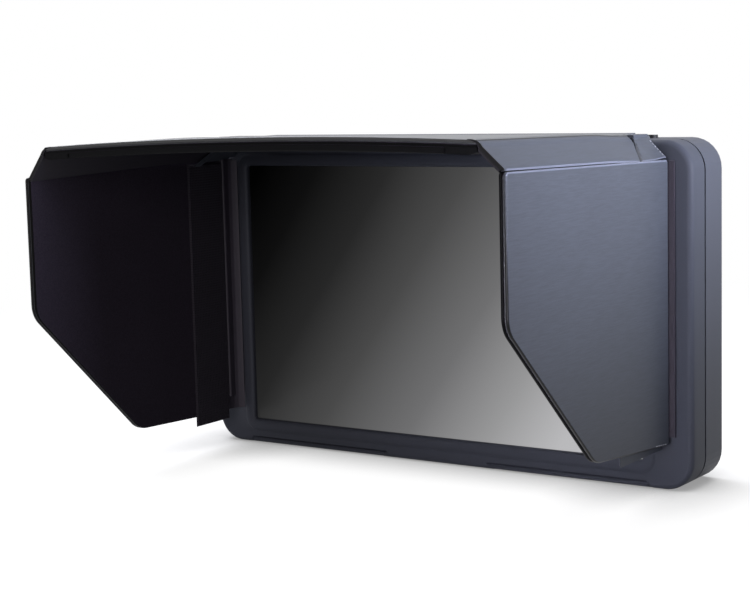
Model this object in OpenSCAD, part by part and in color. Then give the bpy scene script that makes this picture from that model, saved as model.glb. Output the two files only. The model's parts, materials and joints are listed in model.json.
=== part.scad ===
/* [Body] */
// Width of the body beside each end of the screen window
side_margin = 13.95; // [13:0.05:18]
// Height of the body under the screen window
chin_h = 7.3; // [6.6:0.1:12]
// Height of the body over the screen window
brow_h = 7.2; // [6.6:0.1:12]
// Depth of the monitor body, front face to back face
body_d = 20; // [19:0.5:30]
// Radius of the four body corners seen from the front
corner_r = 8; // [5:0.5:10]
// Rounding of the front and back edges of the body
edge_r = 1.5; // [0.8:0.1:2]
// Wall of the two shells
wall = 2; // [1.6:0.1:2.6]
// Depth of the front bezel, from the front face to the seam
bezel_d = 8; // [7:0.1:9]
// Thickness of the seam gasket
gasket_t = 0.5; // [0.3:0.1:0.8]
// Distance that the gasket stays behind the outer surface
gasket_inset = 0.4; // [0.2:0.1:0.8]

/* [Screen] */
// Width of the screen window
window_w = 126.6; // [112:0.2:180]
// Height of the screen window
window_h = 75.5; // [70:0.5:110]
// Depth of the glass behind the front face
glass_recess = 1; // [0.6:0.1:1.4]
// Thickness of the cover glass
glass_t = 0.8; // [0.6:0.1:1.1]
// Width of the rebate that holds the glass
glass_lap = 1; // [0.6:0.1:1.4]
// Width of the raised lip round the window
lip_w = 3.6; // [2:0.1:4.5]
// Height of the raised lip over the front face
lip_h = 0.6; // [0.3:0.1:0.8]
// Thickness of the display cell
cell_t = 1.4; // [1:0.1:1.8]
// Thickness of the backlight unit
backlight_t = 2.4; // [1.8:0.1:2.8]
// Thickness of the metal chassis behind the backlight
chassis_t = 0.8; // [0.6:0.1:1]
// Slot depth into the chin, measured back from the front face
slot_d = 1.6; // [1:0.1:2]
// Height of the two chin slots over the bottom
slot_h = 1.8; // [1.2:0.1:2.4]
// Distance of each chin slot's inner end from the middle
slot_inner_x = 18; // [12:1:30]
// Distance of each chin slot's outer end from the body's side
slot_end = 11.25; // [10:0.25:20]
// Slant of the chin slots' ends
slot_slant = 2; // [0.5:0.5:3]

/* [Keys] */
// Pitch of the keys along the top face
key_pitch = 10; // [9:0.5:11]
// Distance of the last key from the body's side
key_end = 17.75; // [15:0.25:24]
// Length of a key along the body
key_l = 4.8; // [4:0.1:6]
// Width of a key across the body
key_w = 3; // [2.4:0.1:3.2]
// Height of a key over the top face
key_h = 0.8; // [0.7:0.1:1.8]
// Travel of a key
key_travel = 0.6; // [0.3:0.1:0.8]
// Distance of the key row behind the front face
key_row = 13; // [12:0.5:13.5]
// Clearance round a key in its hole
key_gap = 0.2; // [0.1:0.05:0.3]

/* [Sockets] */
// Length of a video socket
video_l = 15; // [14:0.5:16]
// Depth of a video socket
video_t = 5.4; // [5:0.1:5.6]
// Radius of a power jack's body
power_r = 2.8; // [2.6:0.05:2.8]
// Radius of the headphone jack's bore
phone_r = 1.8; // [1.6:0.05:1.9]
// Clearance of a socket in its wall opening
socket_gap = 0.2; // [0.1:0.05:0.3]

/* [Tripod inserts] */
// Radius of the inner wall of the 1/4 inch threaded insert
insert_bore_r = 2.6; // [2.5:0.05:2.7]
// Outer radius of the threaded insert
insert_r = 4.2; // [3.8:0.1:4.4]
// Length of the threaded insert
insert_l = 7; // [6:0.5:8]
// Distance of the insert's axis behind the front face
insert_y = 14; // [13.5:0.1:14]

/* [Battery plate] */
// Width of the battery plate
plate_w = 40; // [38:0.5:44]
// Height of the battery plate
plate_h = 62; // [60:0.5:66]
// Height of the battery plate's lower edge over the bottom
plate_z = 12; // [10:0.5:14]
// Thickness of the plate's base
plate_t = 1.6; // [1.2:0.1:2]
// Height of the side rails over the base
rail_h = 3; // [2.6:0.1:3.4]
// Width of a side rail
rail_w = 2.4; // [2:0.1:3]
// Undercut of a rail's lip over the battery's groove
rail_lip = 1.4; // [1:0.1:1.6]
// Travel of the release latch
latch_travel = 1.6; // [1:0.1:2]
// Width of the release latch
latch_w = 9; // [8:0.5:10]
// Clearance round the release latch
latch_gap = 0.3; // [0.2:0.05:0.35]

/* [Hood] */
// Distance that the hood reaches in front of the body
hood_d = 82.5; // [75:0.5:90]
// Distance of the side panels' outer faces from the body's sides
hood_inset = 5.85; // [5.4:0.05:7]
// Distance of the side panels' upper edge below the body's top
side_top_drop = 4.9; // [4.5:0.1:5.5]
// Height of the side panels' lower edge at the body
side_low_z = 13.3; // [11:0.1:15]
// Height of the lower end of the front edge, where the slant starts
slant_top_z = 51; // [45:0.5:60]
// Distance in front of the body where the slant ends
slant_end = 43.5; // [36:0.5:50]
// Rounding of the side panels' corners
side_r = 7; // [3:0.5:9]
// Height of the hood's top face over the body's top
top_rise = 2.2; // [2.1:0.1:3]
// Distance of the top panel's side folds from the body's sides
fold_inset = 13.25; // [13:0.05:14]
// Thickness of the boards inside the panels
board_t = 1; // [0.8:0.1:1.2]
// Thickness of the outer skin
skin_t = 0.5; // [0.4:0.1:0.6]
// Thickness of the inner lining
lining_t = 0.5; // [0.4:0.1:0.6]
// Thickness of the wings
wing_t = 1.2; // [1:0.1:1.3]
// Slope of the wings under the top face at rest
wing_slope = 53; // [50:0.5:56]
// Thickness of the inner straps at the side panels' roots
strap_t = 0.5; // [0.3:0.1:0.6]
// Length of the inner straps
strap_l = 15; // [12:1:24]
// Distance that the straps reach below the panels
strap_drop = 3; // [2:0.1:4]
// Height of the front lip under the top panel
front_lip_h = 1.4; // [0.8:0.1:1.5]
// Depth of the front lip
front_lip_d = 4; // [2:0.5:6]
// Radius of the hinge beads
bead_r = 0.7; // [0.5:0.05:0.8]
// Clearance between moving pieces of the hood
hood_gap = 0.3; // [0.25:0.05:0.35]
// Thickness of the hook-and-loop strips
hook_t = 0.5; // [0.3:0.1:0.5]
// Thickness of the root flap over the top face
flap_t = 1; // [0.8:0.1:1.2]
// Distance that the root flap reaches over the top face
flap_l = 8; // [6:0.5:9]
// Distance of the root flap's ends from the body's sides
flap_end = 19.25; // [18:0.25:24]

/* [Fasteners] */
// Radius of the shell screws' shanks
screw_r = 1; // [0.8:0.1:1.2]
// Radius of the screw heads
head_r = 1.9; // [1.7:0.1:2.1]
// Height of the screw heads
head_h = 1.2; // [1:0.1:1.4]
// Clearance between a screw and its hole
screw_gap = 0.1; // [0.05:0.05:0.2]

/* [Hidden] */

// Small overlap that keeps cuts and joins clean
eps = 0.02;
// Facets of a full circle
round_fn = 48;
// Facets of the circles inside a hull
hull_fn = 32;

body_w = window_w + 2 * side_margin;
body_h = chin_h + window_h + brow_h;
window_z = chin_h;
half_w = body_w / 2;
slot_outer_x = half_w - slot_end;
key_last_x = half_w - key_end;
hood_w = body_w - 2 * hood_inset;
side_top_z = body_h - side_top_drop;
top_z = body_h + top_rise;
top_w = body_w - 2 * fold_inset;
flap_w = body_w - 2 * flap_end;
front_y = -insert_y;
back_y = front_y + body_d;
seam_y = front_y + bezel_d;
shell_y = seam_y + gasket_t;

glass_y = front_y + glass_recess;
cell_y = glass_y + glass_t;
backlight_y = cell_y + cell_t;
chassis_y = backlight_y + backlight_t;
chassis_back_y = chassis_y + chassis_t;
face_back_y = cell_y + 0.4;
stack_w = window_w + 2 * glass_lap;
stack_h = window_h + 2 * glass_lap;

// Main board: stands on chassis posts, behind the display
post_l = 1.6;
board_y = chassis_back_y + post_l;
pcb_t = 1.2;
board_back_y = board_y + pcb_t;
socket_wall_gap = 0.4;
socket_x = -half_w + socket_wall_gap;
board_left_x = -half_w + 8.3;
board_right_x = half_w - 25;
board_low_z = insert_l + wall + 1;
board_top_z = body_h - 14;
board_mid_x = (board_left_x + board_right_x) / 2;
board_mid_z = (board_low_z + board_top_z) / 2;

// Screw places, from the middle and from the bottom
screw_inset = 6.2;
screw_x = half_w - screw_inset;
screw_low_z = screw_inset;
screw_high_z = body_h - screw_inset;
boss_wall = 1.3;
boss_r = head_r + boss_wall;

// Sockets on the left side: a row with even gaps between the two screw bosses
usb_l = 9;
usb_t = 3.2;
insert_boss_r = insert_r + 0.9;
row_low_z = screw_low_z + boss_r;
row_top_z = screw_high_z - boss_r;
row_sizes = [usb_l, 2 * power_r, video_l, 2 * insert_boss_r, video_l, 2 * power_r];
row_gap = (row_top_z - row_low_z - usb_l - 4 * power_r - 2 * video_l - 2 * insert_boss_r) / 7;
function row_z(i, z = row_low_z, k = 0) =
    k == i ? z + row_gap + row_sizes[k] / 2 : row_z(i, z + row_gap + row_sizes[k], k + 1);
usb_z = row_z(0);
power_in_z = row_z(1);
video_out_z = row_z(2);
side_insert_z = row_z(3);
video_in_z = row_z(4);
phone_z = row_z(5);
socket_y = board_back_y + video_t / 2;
power_out_x = -half_w + 27.25;
plate_screw_x = plate_w / 2 - rail_w - 4;
plate_screw_zs = [plate_z + 20, plate_z + plate_h - 6];
plate_sink = 0.8;
plate_head_out = 0.2;
stop_half_w = 13;
stop_h = 6;
stop_z = plate_z + plate_h - 8;
blade_t = 0.6;
blade_pitch = 8;
blade_reach = 5;
blade_seat = 3;
rail_z = plate_z + 14;
rail_top = 4;
rail_tab_h = 12;
rail_tab_t = 1.2;
board_screw_xs = [board_left_x + 12, board_right_x - 4];
board_screw_zs = [board_low_z + 3, board_top_z - 3];

// Parts on the board
main_chip_w = 18;
main_chip_t = 1.4;
small_chip_w = 11;
small_chip_t = 1.1;
coil_w = 5;
coil_t = 2.2;
coil_pitch = 7;
can_r = 2;
can_t = 3;
spreader_w = 22;
spreader_t = 1;
fin_h = 2;
fin_pitch = 4.2;
fin_count = 6;
flex_w = 24;
flex_t = 0.3;
flex_rise = 12;

// Keys
key_count = 6;
key_y = front_y + key_row;
key_flange = 0.8;
key_flange_t = 1;
key_base_z = body_h - wall - hood_gap - key_flange_t;
key_foot = 0.4;
switch_h = 1;
switch_top_z = key_base_z - key_foot - key_travel - 0.2;
key_board_z = switch_top_z - switch_h - 1;
key_board_w = 6.6;

// Vents in the back wall
vent_w = 2;
vent_h = 20;
vent_pitch = 5;
vent_count = 7;
vent_first_x = plate_w / 2 + 8;
vent_z = 56;

// Battery latch and its spring
latch_h = 6;
latch_mid_z = plate_z + 8;
latch_rise = 2;
latch_flange = 0.8;
spring_r = 1.6;
spring_wire = 0.4;

// Hood layers in front of the body, counted forward from the front face
panel_t = board_t + skin_t + lining_t;
right_axis = lip_h + hood_gap + strap_t;
left_axis = right_axis + panel_t + hood_gap + strap_t;
top_axis = left_axis + panel_t + hood_gap + max(wing_t + hood_gap, front_lip_h);
side_x = hood_w / 2 - panel_t;
top_under_z = top_z - panel_t;
hinge_reach = bead_r + hood_gap;
wing_axis_x = top_w / 2 + 0.2;
wing_axis_z = top_under_z - hood_gap;
wing_low_z = side_top_z + hood_gap;
wing_len = 9.6;
wing_root = top_axis + bead_r;
wing_cut = 7.5;
wing_gap = 1.5;
flap_z = body_h + hook_t;
carrier_w = 4.2;
carrier_low_z = side_low_z + 1;
carrier_top_z = side_top_z - hood_gap;

// Outline of a rectangle with round corners, centred
module round_rect(w, h, r, fn = round_fn) {
    square([w - 2 * r, h], center = true);
    square([w, h - 2 * r], center = true);
    for (sx = [-1, 1], sz = [-1, 1])
        translate([sx * (w / 2 - r), sz * (h / 2 - r)])
            circle(r = r, $fn = fn);
}

// Slab of a rounded rectangle between two depths, standing on z_low
module slab(w, h, r, y0, y1, z_low, fn = round_fn) {
    translate([0, y1, z_low + h / 2])
        rotate([90, 0, 0])
            linear_extrude(height = y1 - y0)
                round_rect(w, h, r, fn);
}

// Box from its two corners
module box(lo, hi) {
    translate(lo)
        cube([hi[0] - lo[0], hi[1] - lo[1], hi[2] - lo[2]]);
}

// Cylinder along the depth, from y0 to y1
module rod_y(x, z, r, y0, y1) {
    translate([x, y1, z])
        rotate([90, 0, 0])
            cylinder(r = r, h = y1 - y0, $fn = round_fn);
}

// Body block with one rounded rim: dir is 1 for a rim at y1, -1 for a rim at y0
module rimmed_block(y0, y1, dir) {
    steps = 5;
    hull() {
        for (i = [0 : steps]) {
            a = 90 * i / steps;
            inset = edge_r * (1 - sin(a));
            depth = edge_r * (1 - cos(a));
            y = dir < 0 ? y0 + depth : y1 - depth;
            slab(body_w - 2 * inset, body_h - 2 * inset, corner_r - inset,
                 dir < 0 ? y : y - eps, dir < 0 ? y + eps : y, inset, hull_fn);
        }
        slab(body_w, body_h, corner_r, dir < 0 ? y1 - eps : y0, dir < 0 ? y1 : y0 + eps, 0, hull_fn);
    }
}

// Fillet of a polygon corner: points of an arc of radius r that meets both edges
function corner_arc(p, a, b, r) =
    let (
        u = (a - p) / norm(a - p),
        v = (b - p) / norm(b - p),
        half = acos(u * v) / 2,
        t = r / tan(half),
        c = p + (u + v) / norm(u + v) * r / sin(half),
        s0 = p + u * t - c,
        s1 = p + v * t - c,
        a0 = atan2(s0[1], s0[0]),
        turn = atan2(s0[0] * s1[1] - s0[1] * s1[0], s0 * s1)
    )
    [for (i = [0 : 8]) c + r * [cos(a0 + turn * i / 8), sin(a0 + turn * i / 8)]];

// Two chin slots cut into the lower front edge
module chin_slots() {
    for (sx = [-1, 1])
        translate([0, front_y + slot_d, 0])
            rotate([90, 0, 0])
                linear_extrude(height = slot_d + 1)
                    polygon([
                        [sx * (slot_inner_x - slot_slant), -1],
                        [sx * (slot_outer_x + slot_slant), -1],
                        [sx * slot_outer_x, slot_h],
                        [sx * slot_inner_x, slot_h]
                    ]);
}

// Corner places of the shell screws
module at_screws() {
    for (sx = [-1, 1], z = [screw_low_z, screw_high_z])
        translate([sx * screw_x, 0, z])
            children();
}

// Open space inside both shells
module cavity(y0, y1) {
    slab(body_w - 2 * wall, body_h - 2 * wall, corner_r - wall, y0, y1, wall);
}

module front_bezel() color([0.20, 0.21, 0.24]) {
    difference() {
        union() {
            difference() {
                rimmed_block(front_y, seam_y, -1);
                cavity(face_back_y, seam_y + 1);
            }
            // Raised lip round the window
            slab(window_w + 2 * lip_w, window_h + 2 * lip_w, 3, front_y - lip_h, front_y + eps,
                 window_z - lip_w);
            at_screws() rod_y(0, 0, boss_r, face_back_y - eps, seam_y);
        }
        slab(window_w, window_h, 0.6, front_y - 2, face_back_y + 1, window_z);
        slab(stack_w, stack_h, 1, glass_y, face_back_y + 1, window_z - glass_lap);
        chin_slots();
        at_screws() rod_y(0, 0, screw_r + screw_gap, face_back_y + 1, seam_y + 1);
    }
}

module key_holes() {
    for (i = [0 : key_count - 1])
        translate([key_last_x - i * key_pitch, key_y, body_h - wall - 1])
            linear_extrude(height = wall + 2)
                round_rect(key_l + 2 * key_gap, key_w + 2 * key_gap, key_w / 2 + key_gap - 0.01);
}

// Openings of the left side's sockets
module socket_holes() {
    for (z = [video_in_z, video_out_z])
        box([-half_w - 1, socket_y - video_t / 2 - socket_gap, z - video_l / 2 - socket_gap],
            [-half_w + wall + 1, socket_y + video_t / 2 + socket_gap, z + video_l / 2 + socket_gap]);
    box([-half_w - 1, board_back_y - socket_gap, usb_z - usb_l / 2 - socket_gap],
        [-half_w + wall + 1, board_back_y + usb_t + socket_gap, usb_z + usb_l / 2 + socket_gap]);
    for (z = [phone_z, power_in_z])
        translate([-half_w - 1, socket_y, z])
            rotate([0, 90, 0])
                cylinder(r = power_r + socket_gap, h = wall + 2, $fn = round_fn);
    translate([power_out_x, socket_y, -1])
        cylinder(r = power_r + socket_gap, h = wall + 2, $fn = round_fn);
}

module rear_shell() color([0.22, 0.23, 0.26]) {
    difference() {
        union() {
            difference() {
                rimmed_block(shell_y, back_y, 1);
                cavity(shell_y - 1, back_y - wall);
            }
            at_screws() rod_y(0, 0, boss_r, shell_y, back_y - wall + eps);
            // Bosses round the two threaded inserts
            translate([0, 0, wall - eps])
                cylinder(r = insert_boss_r, h = insert_l - wall + eps, $fn = round_fn);
            translate([-half_w + wall - eps, 0, side_insert_z])
                rotate([0, 90, 0])
                    cylinder(r = insert_boss_r, h = insert_l - wall + eps, $fn = round_fn);
            // Wall of the well behind the latch
            rod_y(0, latch_mid_z, spring_r + 1, back_y - wall - 1.4, back_y - wall + eps);
        }
        at_screws() rod_y(0, 0, screw_r + screw_gap, shell_y - 1, back_y + 1);
        at_screws() rod_y(0, 0, head_r + screw_gap, back_y - head_h, back_y + 1);
        translate([0, 0, -1])
            cylinder(r = insert_r, h = insert_l + 1 + eps, $fn = round_fn);
        translate([-half_w - 1, 0, side_insert_z])
            rotate([0, 90, 0])
                cylinder(r = insert_r, h = insert_l + 1 + eps, $fn = round_fn);
        socket_holes();
        key_holes();
        for (sx = [-1, 1], i = [0 : vent_count - 1])
            slab_at(sx * (vent_first_x + i * vent_pitch), vent_w, vent_h, vent_z);
        // Well of the latch spring and room for the latch's flange
        rod_y(0, latch_mid_z, spring_r + 0.2, back_y - wall - 0.6, back_y + 1);
        box([-latch_w / 2 - latch_flange - latch_gap, back_y - latch_travel - latch_gap,
             latch_mid_z - latch_h / 2 - latch_flange - latch_gap],
            [latch_w / 2 + latch_flange + latch_gap, back_y + 1,
             latch_mid_z + latch_h / 2 + latch_flange + latch_gap]);
        // Holes for the plate screws
        for (sx = [-1, 1], z = plate_screw_zs)
            rod_y(sx * plate_screw_x, z, screw_r + screw_gap, back_y - wall - 1, back_y + 1);
    }
}

// One vent slot with round ends through the back wall
module slab_at(x, w, h, z) {
    translate([x, 0, 0])
        slab(w, h, w / 2 - 0.01, back_y - wall - 1, back_y + 1, z);
}

module seam_gasket() color([0.05, 0.05, 0.06]) {
    difference() {
        slab(body_w - 2 * gasket_inset, body_h - 2 * gasket_inset, corner_r - gasket_inset,
             seam_y, shell_y, gasket_inset);
        cavity(seam_y - 1, shell_y + 1);
    }
}

module cover_glass() color([0.25, 0.25, 0.27]) {
    slab(stack_w - 0.1, stack_h - 0.1, 0.9, glass_y, cell_y, window_z - glass_lap + 0.05);
}

module display_cell() color([0.08, 0.08, 0.09]) {
    slab(stack_w - 1, stack_h - 1, 0.5, cell_y, backlight_y, window_z - glass_lap + 0.5);
}

module backlight_unit() color([0.85, 0.85, 0.82]) {
    slab(stack_w - 1, stack_h - 1, 0.5, backlight_y, chassis_y, window_z - glass_lap + 0.5);
}

module panel_chassis() color([0.62, 0.63, 0.65]) {
    difference() {
        union() {
            slab(stack_w - 1, stack_h - 1, 0.5, chassis_y, chassis_back_y, window_z - glass_lap + 0.5);
            for (x = board_screw_xs, z = board_screw_zs)
                rod_y(x, z, screw_r + 1.2, chassis_back_y - eps, board_y);
        }
        for (x = board_screw_xs, z = board_screw_zs)
            rod_y(x, z, screw_r + screw_gap, chassis_y - 1, board_y + 1);
    }
}

// Flat flex from the display's lower edge to the board's front face
module panel_flex() color([0.75, 0.45, 0.12]) {
    flex_z = board_low_z + flex_rise;
    box([-flex_w / 2, chassis_back_y, window_z + 1],
        [flex_w / 2, chassis_back_y + flex_t, flex_z]);
    box([-flex_w / 2, chassis_back_y, flex_z - flex_t],
        [flex_w / 2, board_y, flex_z]);
}

module main_board() color([0.05, 0.30, 0.16]) {
    difference() {
        box([board_left_x, board_y, board_low_z], [board_right_x, board_back_y, board_top_z]);
        for (x = board_screw_xs, z = board_screw_zs)
            rod_y(x, z, screw_r + screw_gap, board_y - 1, board_back_y + 1);
    }
}

// Chip on the board: its middle from the board's middle, its size
module chip(x, z, w, h, t) {
    box([board_mid_x + x - w / 2, board_back_y, board_mid_z + z - h / 2],
        [board_mid_x + x + w / 2, board_back_y + t, board_mid_z + z + h / 2]);
}

// Chips, coils and capacitors on the board's back face
module board_chips() color([0.10, 0.10, 0.11]) {
    chip(0, 0, main_chip_w, main_chip_w, main_chip_t);
    chip(2 * main_chip_w, 0, small_chip_w, small_chip_w, small_chip_t);
    chip(-main_chip_w - small_chip_w, -small_chip_w, small_chip_w, small_chip_w, small_chip_t);
    for (i = [0 : 3])
        chip(small_chip_w + i * coil_pitch, -2 * small_chip_w, coil_w, coil_w, coil_t);
    for (i = [0 : 4])
        rod_y(board_mid_x + (i - 4) * coil_pitch, board_top_z - coil_w, can_r,
              board_back_y, board_back_y + can_t);
}

// Aluminium spreader between the main chip and the back wall
module heat_spreader() color([0.72, 0.73, 0.75]) {
    fin_low_z = board_mid_z - spreader_w / 2;
    box([board_mid_x - spreader_w / 2, board_back_y + main_chip_t, fin_low_z],
        [board_mid_x + spreader_w / 2, board_back_y + main_chip_t + spreader_t, fin_low_z + spreader_w]);
    for (i = [0 : fin_count - 1])
        translate([board_mid_x - spreader_w / 2 + i * fin_pitch,
                   board_back_y + main_chip_t + spreader_t - eps, fin_low_z])
            cube([spreader_t, fin_h + eps, spreader_w]);
}

module key_board() color([0.05, 0.30, 0.16]) {
    x_min = key_last_x - (key_count - 1) * key_pitch;
    box([x_min - 5, key_y - key_board_w / 2, key_board_z],
        [key_last_x + 4, key_y + key_board_w / 2, key_board_z + 1]);
    for (i = [0 : key_count - 1])
        translate([key_last_x - i * key_pitch, key_y, key_board_z + 1 - eps])
            cylinder(r = 1.5, h = switch_h + eps, $fn = round_fn);
    // Tongues that seat the board on the back wall
    for (x = [x_min - 4, key_last_x - 2 * key_pitch - 7, key_last_x + 1])
        box([x, key_y + key_board_w / 2 - eps, key_board_z],
            [x + 3, back_y - wall, key_board_z + 1]);
}

// One key: cap, retaining flange and foot
module key_body(index) color([0.13, 0.13, 0.15]) {
    translate([key_last_x - index * key_pitch, key_y, key_base_z]) {
        linear_extrude(height = body_h + key_h - key_base_z)
            round_rect(key_l, key_w, key_w / 2 - 0.01);
        linear_extrude(height = key_flange_t)
            round_rect(key_l + 2 * key_flange, key_w + 2 * key_flange, key_w / 2);
        translate([0, 0, -key_foot])
            cylinder(r = 1, h = key_foot + eps, $fn = round_fn);
    }
}

module function_key() { key_body(0); }
module right_key() { key_body(1); }
module left_key() { key_body(2); }
module menu_key() { key_body(3); }
module input_key() { key_body(4); }
module power_key() { key_body(5); }

// Video socket: metal shell, dark tongue inside
module video_socket(z) {
    shell_t = 0.4;
    depth = 12;
    difference() {
        box([socket_x, socket_y - video_t / 2, z - video_l / 2],
            [socket_x + depth, socket_y + video_t / 2, z + video_l / 2]);
        box([socket_x - 1, socket_y - video_t / 2 + shell_t, z - video_l / 2 + shell_t],
            [socket_x + depth - 1, socket_y + video_t / 2 - shell_t, z + video_l / 2 - shell_t]);
    }
    box([socket_x + 1, socket_y - 0.6, z - video_l / 2 + 2],
        [socket_x + depth - 1 + eps, socket_y + 0.6, z + video_l / 2 - 2]);
}

module video_in_socket() color([0.70, 0.71, 0.73]) { video_socket(video_in_z); }
module video_out_socket() color([0.70, 0.71, 0.73]) { video_socket(video_out_z); }

// Round jack along +Z from its mouth: barrel, block and, for power, a centre pin
module round_jack(bore_r, pin_r) {
    depth = 10;
    neck = wall + 1;
    difference() {
        union() {
            cylinder(r = power_r, h = neck + eps, $fn = round_fn);
            translate([-video_t / 2, -video_t / 2, neck])
                cube([video_t, video_t, depth - neck]);
        }
        translate([0, 0, -1])
            cylinder(r = bore_r, h = depth, $fn = round_fn);
    }
    if (pin_r > 0)
        translate([0, 0, 1])
            cylinder(r = pin_r, h = depth - 1.5, $fn = round_fn);
}

module power_in_jack() color([0.10, 0.10, 0.11]) {
    translate([socket_x, socket_y, power_in_z]) rotate([0, 90, 0]) round_jack(power_r - 0.5, 0.8);
}

module power_out_jack() color([0.10, 0.10, 0.11]) {
    translate([power_out_x, socket_y, socket_wall_gap]) round_jack(power_r - 0.5, 0.8);
}

module headphone_jack() color([0.10, 0.10, 0.11]) {
    translate([socket_x, socket_y, phone_z]) rotate([0, 90, 0]) round_jack(phone_r, 0);
}

module usb_socket() color([0.70, 0.71, 0.73]) {
    shell_t = 0.3;
    depth = 9.5;
    difference() {
        box([socket_x, board_back_y, usb_z - usb_l / 2],
            [socket_x + depth, board_back_y + usb_t, usb_z + usb_l / 2]);
        box([socket_x - 1, board_back_y + shell_t, usb_z - usb_l / 2 + shell_t],
            [socket_x + depth - 1, board_back_y + usb_t - shell_t, usb_z + usb_l / 2 - shell_t]);
    }
    box([socket_x + 1, board_back_y + usb_t / 2 - 0.35, usb_z - usb_l / 2 + 1.2],
        [socket_x + depth - 1 + eps, board_back_y + usb_t / 2 + 0.35, usb_z + usb_l / 2 - 1.2]);
}

// Threaded insert along +Z from its mouth
module insert_body() {
    difference() {
        cylinder(r = insert_r, h = insert_l, $fn = round_fn);
        translate([0, 0, -1])
            cylinder(r = insert_bore_r, h = insert_l + 2, $fn = round_fn);
    }
}

module bottom_insert() color([0.80, 0.62, 0.30]) { insert_body(); }

module side_insert() color([0.80, 0.62, 0.30]) {
    translate([-half_w, 0, side_insert_z]) rotate([0, 90, 0]) insert_body();
}

module battery_plate() color([0.12, 0.12, 0.13]) {
    difference() {
        union() {
            slab(plate_w, plate_h, 2, back_y, back_y + plate_t, plate_z);
            for (sx = [-1, 1]) {
                // Side rail and its lip over the battery's groove
                rail_x = sx > 0 ? plate_w / 2 - rail_w : -plate_w / 2;
                box([rail_x, back_y + plate_t - eps, rail_z],
                    [rail_x + rail_w, back_y + plate_t + rail_h, plate_z + plate_h - rail_top]);
                for (z = [rail_z, plate_z + plate_h / 2 + blade_pitch - 1])
                    box([rail_x - (sx > 0 ? rail_lip : 0), back_y + plate_t + rail_h - rail_tab_t, z],
                        [rail_x + rail_w + (sx > 0 ? 0 : rail_lip),
                         back_y + plate_t + rail_h, z + rail_tab_h]);
            }
            // Stop block at the upper end with the contact slots
            box([-stop_half_w, back_y + plate_t - eps, stop_z],
                [stop_half_w, back_y + plate_t + rail_h, stop_z + stop_h]);
        }
        // Latch opening
        box([-latch_w / 2 - latch_gap, back_y - 1, latch_mid_z - latch_h / 2 - latch_gap],
            [latch_w / 2 + latch_gap, back_y + plate_t + 1, latch_mid_z + latch_h / 2 + latch_gap]);
        for (sx = [-1, 1], z = plate_screw_zs) {
            rod_y(sx * plate_screw_x, z, screw_r + screw_gap, back_y - 1, back_y + plate_t + rail_h + 1);
            rod_y(sx * plate_screw_x, z, head_r + screw_gap, back_y + plate_t - plate_sink,
                  back_y + plate_t + rail_h + 1);
        }
        // Slots that seat the contact blades
        for (x = [-blade_pitch, 0, blade_pitch])
            box([x - blade_t / 2, back_y + plate_t + plate_head_out, stop_z - 1],
                [x + blade_t / 2, back_y + plate_t + rail_h - plate_sink, stop_z + blade_seat]);
    }
}

module battery_contacts() color([0.85, 0.68, 0.28]) {
    for (x = [-blade_pitch, 0, blade_pitch])
        box([x - blade_t / 2, back_y + plate_t + plate_head_out, stop_z - blade_reach],
            [x + blade_t / 2, back_y + plate_t + rail_h - plate_sink, stop_z + blade_seat]);
}

// Release latch: pressed towards the body against its spring
module battery_latch() color([0.16, 0.16, 0.18]) {
    box([-latch_w / 2, back_y - latch_gap, latch_mid_z - latch_h / 2],
        [latch_w / 2, back_y + plate_t + latch_rise, latch_mid_z + latch_h / 2]);
    box([-latch_w / 2 - latch_flange, back_y - latch_gap, latch_mid_z - latch_h / 2 - latch_flange],
        [latch_w / 2 + latch_flange, back_y, latch_mid_z + latch_h / 2 + latch_flange]);
}

// Latch spring, drawn at its pressed length in its well
module latch_spring() color([0.72, 0.72, 0.74]) {
    difference() {
        rod_y(0, latch_mid_z, spring_r, back_y - wall - 0.6, back_y - latch_travel - latch_gap);
        rod_y(0, latch_mid_z, spring_r - spring_wire, back_y - wall - 1, back_y);
    }
}

module shell_screws() color([0.15, 0.15, 0.16]) {
    at_screws() {
        rod_y(0, 0, screw_r, face_back_y + 1.2, back_y - head_h + eps);
        rod_y(0, 0, head_r, back_y - head_h, back_y - 0.2);
    }
}

module board_screws() color([0.70, 0.71, 0.73]) {
    for (x = board_screw_xs, z = board_screw_zs) {
        rod_y(x, z, screw_r, chassis_y + 0.1, board_back_y + eps);
        rod_y(x, z, head_r, board_back_y, board_back_y + head_h);
    }
}

module plate_screws() color([0.15, 0.15, 0.16]) {
    for (sx = [-1, 1], z = plate_screw_zs) {
        rod_y(sx * plate_screw_x, z, screw_r, back_y - wall - plate_sink,
              back_y + plate_t - plate_sink + eps);
        rod_y(sx * plate_screw_x, z, head_r, back_y + plate_t - plate_sink,
              back_y + plate_t + plate_head_out);
    }
}

module top_hook_strip() color([0.10, 0.10, 0.11]) {
    box([-flap_w / 2 + 1, front_y + edge_r + 0.2, body_h], [flap_w / 2 - 1, front_y + flap_l - 1, flap_z]);
}

// Hook strip on the front face beside the screen; side is -1 left, 1 right
module side_hook_strip(side) {
    box([side > 0 ? side_x - bead_r + 0.2 : -side_x + bead_r - 0.2 - carrier_w + 0.4,
         front_y - hook_t, carrier_low_z + 1],
        [side > 0 ? side_x - bead_r - 0.2 + carrier_w : -side_x + bead_r - 0.2, front_y, carrier_top_z - 1]);
}

module left_hook_strip() color([0.10, 0.10, 0.11]) { side_hook_strip(-1); }
module right_hook_strip() color([0.10, 0.10, 0.11]) { side_hook_strip(1); }

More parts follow.
